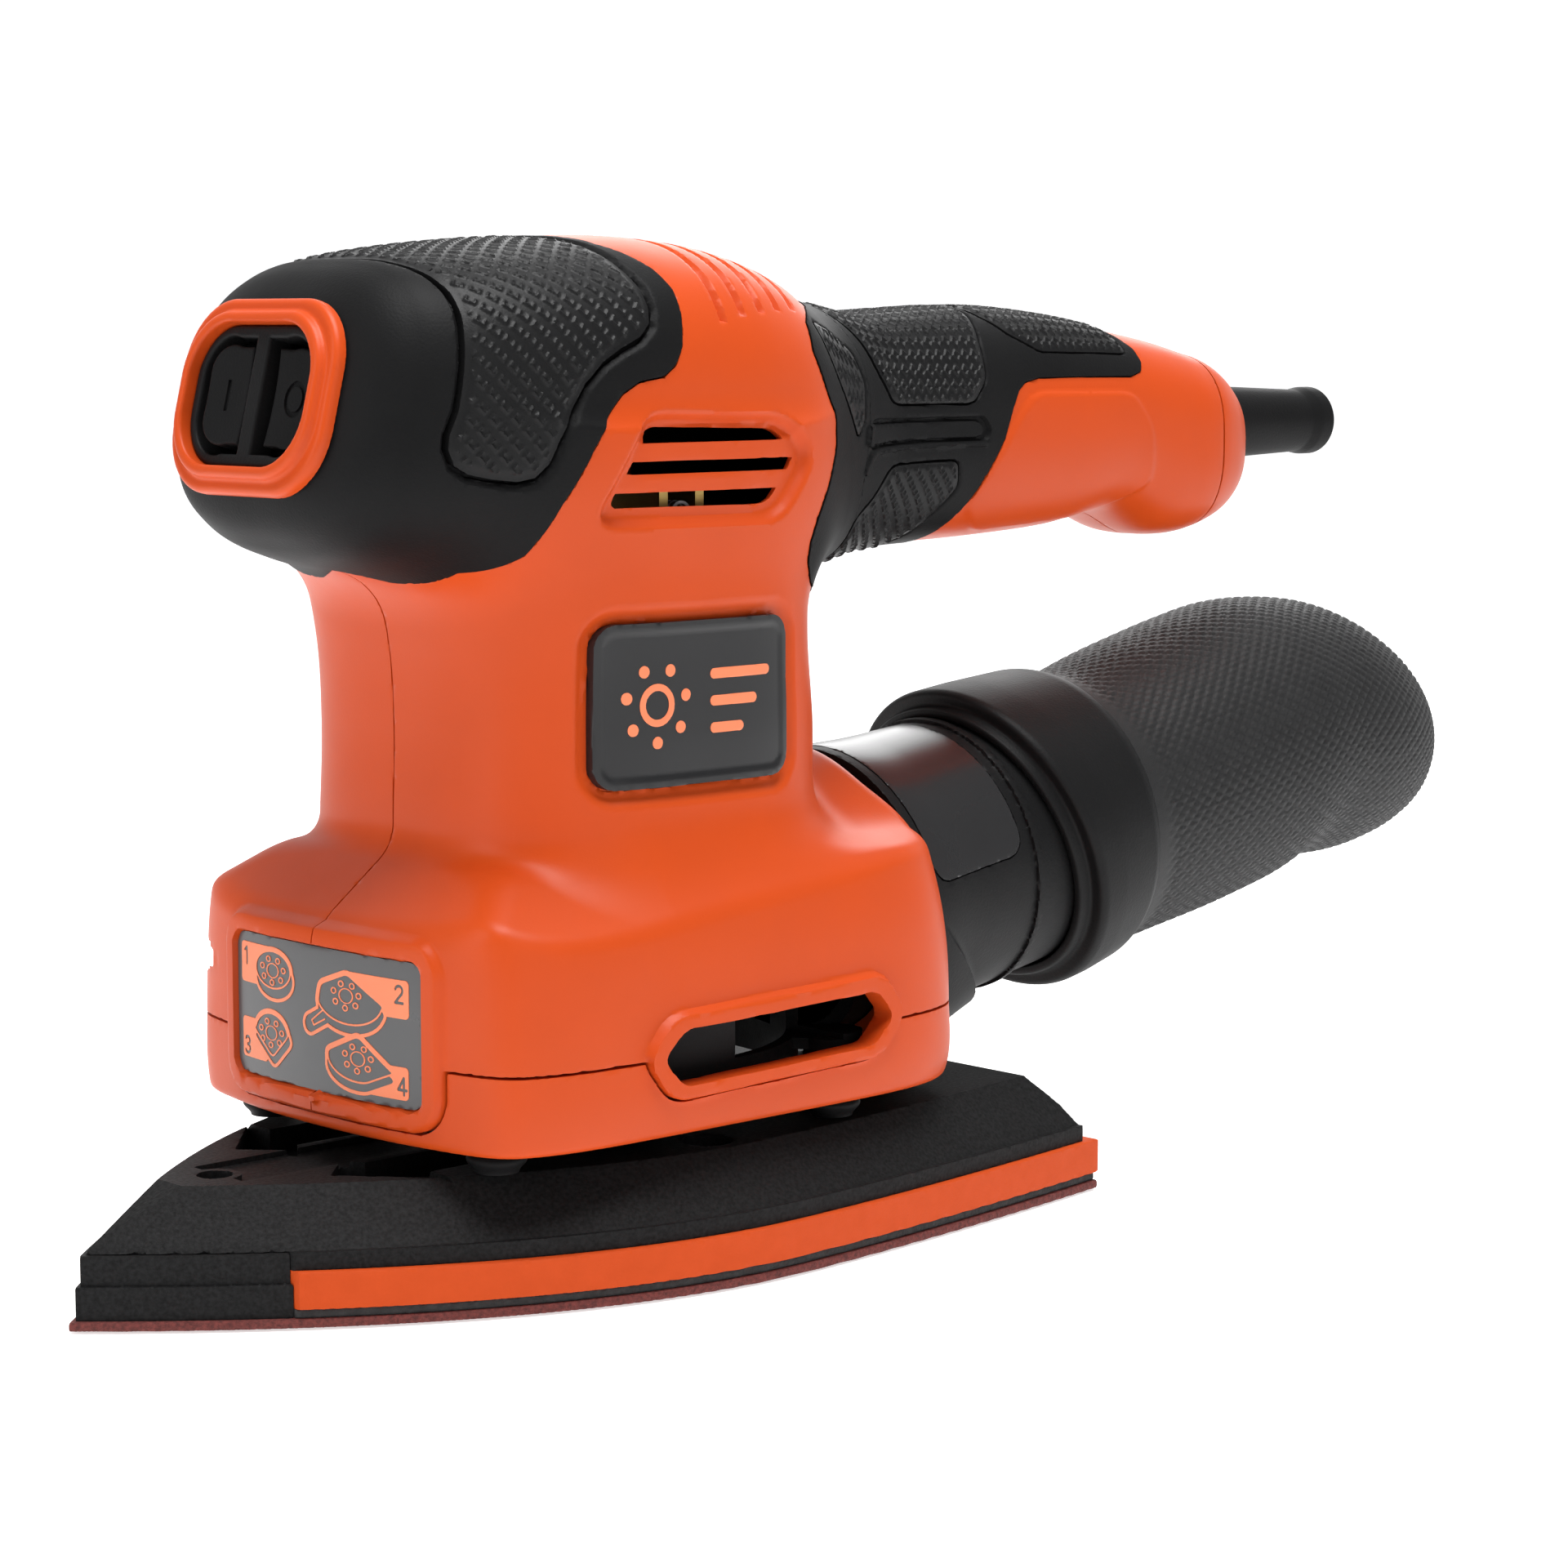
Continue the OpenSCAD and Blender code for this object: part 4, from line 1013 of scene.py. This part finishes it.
for side, name in ((-1, "left"), (1, "right")):
    piece(f"badge_mark_{name}", badge_ink(side), *side_box(side, (-25, 22), (32, 42), (84, 110)), 0.26,
          "housing", [], "gloss_black", M["print"], coarse=1.5)
piece("label_tags", label_ink, (-62, -27, 31), (-48, 26, 59), 0.17, "housing", [],
      "label_film", M["print"], coarse=1.5)
piece("label", label_plate, (-62, -28, 30), (-46, 28, 60), 0.4, "housing", ["front_label"],
      "label_film", M["label"])
for side, name in ((-1, "left"), (1, "right")):
    piece(f"badge_plate_{name}", badge(side), *side_box(side, (-28, 24), (30, 45), (80, 114)), 0.45,
          "housing", [f"badge_{name}"], "gloss_black", M["gloss"])


# ---------------------------------------------------------------- switch
def bezel(x, y, z):
    across, up, out = face_coords(x, y, z)
    flange = blend_max(round_rect(across, up, 21.0, 16.3, 11.5), out - 1.3, 1.4)
    flange = np.maximum(flange, -out - 0.9)
    ring = blend_max(round_rect(across, up, 18.9, 13.9, 10.8), out - 2.9, 1.3)
    ring = np.maximum(ring, -out - 0.9)
    f = blend_min(flange, ring, 0.8)
    return blend_max(f, -round_rect(across, up, 16.9, 11.9, 9.4), 0.7)


def switch_surround(x, y, z):
    across, up, out = face_coords(x, y, z)
    f = blend_max(round_rect(across, up, 16.75, 11.75, 9.2), out - 0.9, 0.8)
    f = np.maximum(f, -out - 9)
    for side in (-1, 1):
        window = round_rect(across - side * 8.3, up, 6.5, 9.9, 6.45)
        square = np.maximum(np.abs(across - side * 5.2) - 3.4, np.abs(up) - 9.6)
        f = blend_max(f, -np.minimum(window, square), 0.7)
    return np.maximum(f, -np.maximum(round_rect(across, up, 14.6, 10.0, 5), out + 3.4))


def rocker(x, y, z):
    across, up, out = face_coords(x, y, z)
    turn = math.radians(7)
    depth = out + 9
    cos, sin = math.cos(turn), math.sin(turn)
    across, depth = across * cos + depth * sin, depth * cos - across * sin
    f = np.maximum(round_rect(across, up, 12.6, 8.4, 4), np.abs(depth - 1.7) - 1.7)
    for side in (-1, 1):
        pad = round_rect(across - side * 8.0, up, 4.9, 8.4, 4.85)
        flat = np.maximum(np.abs(across - side * 5.4) - 2.3, np.abs(up) - 8.1)
        pad = np.maximum(np.minimum(pad, flat), 2 - depth)
        dish = depth - 9.0 - 0.012 * (across - side * 8) ** 2 - 0.008 * up**2
        f = np.minimum(f, blend_max(pad, dish, 0.7))
    mark_i = np.maximum(np.maximum(np.abs(up) - 2.6, np.abs(across - 8.0) - 0.45), 8.6 - depth)
    mark_o = np.maximum(np.abs(np.hypot(up * 0.9, (across + 8.0) * 1.15) - 2.3) - 0.42, 8.6 - depth)
    return np.maximum(f, -np.minimum(mark_i, mark_o))


FACE_BOX = ((-72, -23, 125), (-52, 23, 170))
for name, field, step, body, node, slot, look in (
    ("bezel", bezel, 0.34, "housing", "switch_bezel", "orange_plastic", "orange"),
    ("surround", switch_surround, 0.3, "housing", "switch_frame", "black_plastic", "black"),
    ("rocker_cap", rocker, 0.26, "rocker", "switch_rocker", "black_plastic", "rubber"),
):
    piece(name, field, *FACE_BOX, step, body, [node], slot, M[look], coarse=1.4)


# ---------------------------------------------------------------- base
# Reach of the base to the front and rear, its half widths, the tip's joint, the plate's top
PAD_FRONT, PAD_REAR, PAD_HALF, PAD_REAR_HALF = 104.0, 92.0, 53.0, 44.0
PAD_WIDEST = 4
TIP_BACK = -76.0
PLATE_TOP = 21.3


def pad_edge(x, grow):
    """Half width of the iron-shaped base, grown or shrunk."""
    ahead = np.clip(PAD_WIDEST - x, 0, None) / (PAD_WIDEST + PAD_FRONT + grow)
    behind = np.clip(x - PAD_WIDEST, 0, None) / (PAD_REAR - PAD_WIDEST)
    front = (PAD_HALF + grow) * (1 - ahead**1.95)
    rear = PAD_HALF + grow - (PAD_HALF - PAD_REAR_HALF) * behind**1.5
    return np.where(x < PAD_WIDEST, front, rear)


def pad_outline():
    """The base's outline, with closer points near the tip."""
    near_tip = -PAD_FRONT + (1 - np.cos(np.linspace(0, math.pi / 2, 30))) * 60
    xs = np.unique(np.round(np.concatenate([near_tip, np.linspace(-40, PAD_REAR, 40)]), 3))
    half = np.maximum(pad_edge(xs, 0.0), 0.01)
    return np.concatenate([np.stack([xs, -half], 1), np.stack([xs, half], 1)[::-1]])


pad_shape = flat_shape(pad_outline(), spacing=0.5, margin=10)
HOLES = [(1 + 36 * math.cos(math.radians(a)), 36 * math.sin(math.radians(a))) for a in range(30, 331, 60)]


def dust_holes(x, y):
    return np.min([np.hypot(x - hx, y - hy) - 4.5 for hx, hy in HOLES], 0)


arrow_shape = flat_shape([
    (-62, 13.5), (-48.5, 29), (-48.5, 22.5), (-20, 22.5), (-20, 9.5), (-52, 9.5), (-54.5, 6),
], spacing=0.3)


def platen(x, y, z):
    d = pad_shape(x, y)
    edge = np.maximum(d + 1.2, x - PAD_REAR + 3.6)
    wall = np.maximum(edge, z - 12.2)
    slope = 9.3 / 8.6
    bevel = ((z - 12.0) + slope * (d + 2.0)) / math.hypot(1, slope)
    front = ((z - 12.4) * 17.5 - (x + 101.6) * 9.0) / math.hypot(17.5, 9.0)
    rear = ((z - 12.0) * 4.5 + (x - 88.2) * 9.3) / math.hypot(4.5, 9.3)
    top = np.max([bevel, front, rear, z - PLATE_TOP, 12.02 - z], 0)
    f = np.minimum(np.max([wall, 9.2 - z, TIP_BACK + 0.1 - x], 0), top)
    hub = np.maximum(np.hypot(x - 1, y) - 27.9, 13.8 - z)
    tip = np.maximum(np.hypot(x + 75.5, y) - 3.0, 11.8 - z)
    arrows = np.maximum(arrow_shape(x, np.abs(y)), PLATE_TOP - 4.5 - z)
    step = np.maximum(round_rect(x + 52, y, 23, 7.2, 1.0), PLATE_TOP - 1.1 - z)
    step = np.maximum(step, 4.4 - np.hypot(x + 75.5, y))
    return np.max([f, -hub, -tip, -arrows, -step, -dust_holes(x, y)], 0)


def tip_block(x, y, z):
    d = pad_shape(x, y)
    low_part = np.maximum(d + 0.9, z - 7.0)
    high_part = np.maximum(d + 1.6, z - 12.0)
    f = np.minimum(low_part, high_part)
    return np.max([f, x - TIP_BACK, 1.5 - z], 0)


def layer(z0, z1, inset, rear, front=TIP_BACK + 0.1, edge=0.4):
    def field(x, y, z):
        f = blend_max(pad_shape(x, y) + inset, np.abs(z - (z0 + z1) / 2) - (z1 - z0) / 2, edge)
        return np.max([f, x - rear, front - x, -dust_holes(x, y)], 0)

    return field


piece("base_plate", platen, (-104, -54, 8), (90, 54, 22), 0.6, "base", ["platen"],
      "black_plastic", M["speckle"], sharp=25)
piece("tip", tip_block, (-105, -32, 1), (-75, 32, 13), 0.4, "base", ["platen_tip"],
      "black_plastic", M["speckle"], sharp=25)
foam = piece("foam", layer(3.0, 9.2, 0.0, PAD_REAR), (-78, -54, 2), (93, 54, 10), 0.62, "base",
             ["foam_pad"], "foam", M["foam"])
piece("hook_layer", layer(1.5, 3.0, 0.6, PAD_REAR - 0.6), (-78, -54, 1), (93, 54, 4), 0.5, "base",
      ["hook_pad"], "hook_fabric", M["hook"], coarse=1.3)
piece("sheet", layer(0.0, 1.5, 0.0, PAD_REAR - 0.4, front=-120.0), (-105, -54, -1), (93, 54, 2.5),
      0.5, "base", ["sanding_sheet"], "abrasive", M["grit"], coarse=1.3)


# ---------------------------------------------------------------- dust adapter and bag
adapter_radius = smooth_line(
    [-2, 4, 14, 26, 36, 44, 60], [28.6, 28.2, 27.2, 26.5, 26.2, 26.0, 26.0]
)


def adapter(x, y, z):
    along, across, up = port_coords(x, y, z)
    r = np.hypot(across, up)
    plug = np.maximum(r - 24.7, np.maximum(-14 - along, along - 6))
    body = np.maximum(np.maximum(r - adapter_radius(along), 0.5 - along), along - 50)
    chin = np.hypot(across, up + 8 - 0.28 * along) - 27
    chin = np.max([chin, 0.5 - along, along + 0.9 * up + 2, along - 40], 0)
    body = blend_min(body, chin, 4)
    ridge = np.maximum(np.abs(r - 26.4) - 0.6, np.abs(along - 31.5) - 0.8)
    f = np.min([plug, body, ridge], 0)
    f = np.maximum(f, np.minimum(22 - r, 0))
    seat = np.maximum(window_field(across, up, along, 0.2), 25.6 - r)
    return np.maximum(f, -seat)


def window_field(across, up, along, grow):
    angle = np.degrees(np.arctan2(up, -across)) * 0.46
    return round_rect(angle - 32, along - 15.5, 28 + grow, 12.5 + grow, 4.0)


def adapter_lens(x, y, z):
    along, across, up = port_coords(x, y, z)
    r = np.hypot(across, up)
    return np.max([r - adapter_radius(along) - 0.1, 25.7 - r, window_field(across, up, along, 0.0)], 0)


def collar_place(along, across, up):
    """The collar's front leans: its top reaches further forward than its bottom."""
    return port_point(along - 0.22 * up * np.clip((62 - along) / 18, 0, 1), across, up)


COLLAR = [(39.4, 26.5), (39.4, 28.2), (42.2, 28.6), (42.2, 30.9), (43.6, 31.6), (50, 31.4),
          (60.5, 30.6), (62.0, 30.0), (63.2, 29.0), (63.2, 26.4), (60, 26.4), (44, 26.4)]


piece("adapter", adapter, (46, -32, 16), (118, 32, 90), 0.55, "dust_adapter_body", ["dust_adapter"],
      "black_plastic", M["black"])
piece("adapter_panel", adapter_lens, (60, -32, 16), (100, 32, 90), 0.4, "dust_adapter_body",
      ["adapter_window"], "smoked_plastic", M["smoke"])
lathe("bag_ring", rounded(COLLAR, 0.7), collar_place, "dust_bag_body", ["bag_collar"],
      M["black"])


def bag():
    """The dust bag: a lofted skin with an embossed net of diamonds, waisted and sagging."""
    across_n, along_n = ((500, 210))
    start, length = 62.6, 112.5
    knots = [0, 15, 31, 47, 58, 68, 82, 92, 100, 106, 110, 112.5]
    profile = smooth_line(knots, [28.4, 28.6, 29.2, 29.4, 29.3, 28.4, 26.6, 23.6, 19.6, 14.6, 9.4, 1.4])
    rise = smooth_line(knots, [0, 0.4, 1.2, 2.2, 2.6, 2.2, 0.0, -2.4, -4.4, -5.6, -6.2, -6.6])
    s = np.linspace(0, 1, along_n)
    run = length * (1 - (1 - s) ** 1.25)
    angle = np.linspace(0, 2 * math.pi, across_n, endpoint=False)
    u, v = np.meshgrid(run, angle, indexing="ij")
    radius = profile(u)
    dent = 1.7 * np.exp(-(((u - 62) / 8) ** 2)) * np.clip(-np.cos(v - 0.3), 0, 1) ** 2
    waist = 1.0 * np.exp(-(((u - 8) / 9) ** 2)) * np.clip(np.cos(v), 0, 1)
    radius = radius - dent - waist
    cells = 76
    pitch = 2 * math.pi * 31 / cells
    p, q = v / (2 * math.pi) * cells, u / (pitch * 1.25)
    d = np.abs(((p + q) % 1) - 0.5) * 2
    e = np.abs(((p - q) % 1) - 0.5) * 2
    lines = np.maximum(soft_step(0.72 - d, 0.3), soft_step(0.72 - e, 0.3))
    fade = soft_step(5.0 - u, 5) * soft_step(u - 108, 3)
    radius = radius - 0.28 * lines * fade
    x, y, z = port_point(start + u, radius * np.sin(v), radius * np.cos(v) + rise(u))
    outer = np.stack([x, y, z], -1).reshape(-1, 3)
    inner_radius = radius - 1.4
    x, y, z = port_point(start + np.minimum(u, length - 1.6), inner_radius.clip(0.5) * np.sin(v),
                         inner_radius.clip(0.5) * np.cos(v) + rise(u))
    inner = np.stack([x, y, z], -1).reshape(along_n, across_n, 3)[:: 4]
    inner_n = len(inner)
    inner = inner.reshape(-1, 3)
    ids = np.arange(along_n * across_n).reshape(along_n, across_n)
    nxt = np.roll(ids, -1, 1)
    faces = np.stack([ids[:-1], nxt[:-1], nxt[1:], ids[1:]], -1).reshape(-1, 4)
    base = len(outer)
    ids_in = base + np.arange(inner_n * across_n).reshape(inner_n, across_n)
    nxt_in = np.roll(ids_in, -1, 1)
    faces_in = np.stack([ids_in[:-1], ids_in[1:], nxt_in[1:], nxt_in[:-1]], -1).reshape(-1, 4)
    rim = np.stack([ids[0], ids_in[0], nxt_in[0], nxt[0]], -1)
    faces = [list(f) for f in np.concatenate([faces, faces_in, rim])]
    faces.append(list(ids[-1]))
    faces.append(list(ids_in[-1][::-1]))
    return mesh_piece("bag", np.concatenate([outer, inner]), faces, "dust_bag_body", ["dust_bag"],
                      M["bag"], sharp=70)


bag()


# ---------------------------------------------------------------- strain relief and posts
def lead_place(along, across, up):
    return along, across, CABLE_Z + up


RELIEF = [(160.6, 3.6), (160.6, 6.9), (163.6, 6.9), (163.6, 5.0), (169.9, 5.0), (169.9, 7.5), (177, 7.35),
          (198.6, 6.5), (201.2, 7.0), (204.6, 7.0), (205.5, 6.2), (205.5, 3.6)]
lathe("relief", rounded(RELIEF, 0.5), lead_place, "housing", ["strain_relief"],
      M["rubber"], 96)


def bellows_profile():
    z = np.linspace(21.8, 34, 45)
    r = 4.4 + 0.7 * np.cos((z - 24) * 2 * math.pi / 4.4)
    return np.concatenate([[(21.8, 0.01)], np.stack([z, r], 1), [(34, 0.01)]])


for i, (px, py) in enumerate([(-41.5, 31.5), (-41.5, -31.5), (30.0, 36.5), (30.0, -36.5)]):
    lathe(f"bellows_{i + 1}", bellows_profile(), lambda h, u, v, px=px, py=py: (px + v, py + u, h),
          "housing", ["isolator_posts"] if i == 0 else [], M["rubber"], 64)

# ---------------------------------------------------------------- CAD nodes that stay
KEPT = {
    "steel": ["motor_shaft", "upper_bearing", "lower_bearing", "pad_bearing", "eccentric_weight",
              "brush_springs"],
    "zinc": ["housing_screws", "skirt_screws", "clamp_screws", "bearing_screw"],
    "iron": ["stator_core", "rotor_core"],
    "copper": ["field_coils", "rotor_windings", "commutator"],
    "brass": ["brush_holders"],
    "carbon": ["carbon_brushes"],
    "case": ["capacitor"],
    "black": ["switch_module", "cable_clamp", "fan_shroud", "bearing_plate", "bearing_cup", "fan",
              "pad_hub"],
}
for look, names in KEPT.items():
    for name in names:
        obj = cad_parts[name]
        obj.data.materials.clear()
        obj.data.materials.append(M[look])
        obj.data.polygons.foreach_set("use_smooth", np.ones(len(obj.data.polygons), bool))
        obj.data.set_sharp_from_angle(angle=math.radians(30))

# ---------------------------------------------------------------- floor, light and camera
scene = bpy.context.scene


def floor():
    """A seamless pale sweep: floor, bend and wall behind the object, as the camera sees it."""
    wide, near, back, bend, tall = 5.0, -3.0, 2.2, 1.2, 4.0
    line = [(near, 0.0), (back, 0.0)]
    turns = np.linspace(0.1, math.pi / 2, 14)
    line += [(back + bend * math.sin(t), bend * (1 - math.cos(t))) for t in turns]
    line.append((back + bend, tall))
    ahead = Vector((0.6848, 0.7287, 0.0))
    side = Vector((0.7287, -0.6848, 0.0))
    below = 0.0004  # metres under the sheet's face
    vertices = [
        ahead * a + side * w + Vector((0, 0, h - below)) for a, h in line for w in (-wide, wide)
    ]
    faces = [(2 * i, 2 * i + 1, 2 * i + 3, 2 * i + 2) for i in range(len(line) - 1)]
    mesh = bpy.data.meshes.new("floor")
    mesh.from_pydata(vertices, [], faces)
    mesh.polygons.foreach_set("use_smooth", np.ones(len(mesh.polygons), bool))
    obj = bpy.data.objects.new("floor", mesh)
    scene.collection.objects.link(obj)
    paint = material("floor_paint", (0.9, 0.9, 0.9), 0.6, other=(0.89, 0.89, 0.89), grain_mm=0.0)
    shader = paint.node_tree.nodes["Principled BSDF"]
    shader.inputs["Emission Color"].default_value = (1, 1, 1, 1)
    shader.inputs["Emission Strength"].default_value = 0.6
    mesh.materials.append(paint)


def lamp(name, place, target, size, power):
    light = bpy.data.lights.new(name, "AREA")
    light.shape = "RECTANGLE"
    light.size, light.size_y = size
    light.energy = power
    obj = bpy.data.objects.new(name, light)
    scene.collection.objects.link(obj)
    obj.location = place
    obj.rotation_euler = (Vector(target) - Vector(place)).to_track_quat("-Z", "Y").to_euler()


floor()
middle = (cad_box[0] + cad_box[1]) / 2
lamp("top", (0.0, -0.15, 1.0), middle, (0.6, 0.6), 13.5)
lamp("left", (-1.0, 0.2, 0.5), middle, (0.4, 0.9), 3.2)
lamp("front", (-0.1, -1.3, 0.5), middle, (1.0, 0.8), 1.6)
lamp("back", (0.9, 0.7, 0.6), middle, (0.6, 0.6), 3)
world = bpy.data.worlds.new("studio")
world.use_nodes = True
world.node_tree.nodes["Background"].inputs["Color"].default_value = (1, 1, 1, 1)
world.node_tree.nodes["Background"].inputs["Strength"].default_value = 0.24
scene.world = world
scene.view_settings.view_transform = "Standard"

camera_data = bpy.data.cameras.new("camera")
camera_data.lens, camera_data.sensor_width = 86.38, 36.0
camera_data.clip_start, camera_data.clip_end = 0.01, 50
camera = bpy.data.objects.new("camera", camera_data)
scene.collection.objects.link(camera)
right, down = Vector((0.7288, -0.6847, 0.0)), Vector((-0.0826, -0.0879, -0.9927))
ahead = Vector((0.6797, 0.7235, -0.1206))
turn = Matrix((right, -down, -ahead)).transposed().to_4x4()
camera.matrix_world = Matrix.Translation((-0.4222, -0.5056, 0.1595)) @ turn
scene.camera = camera
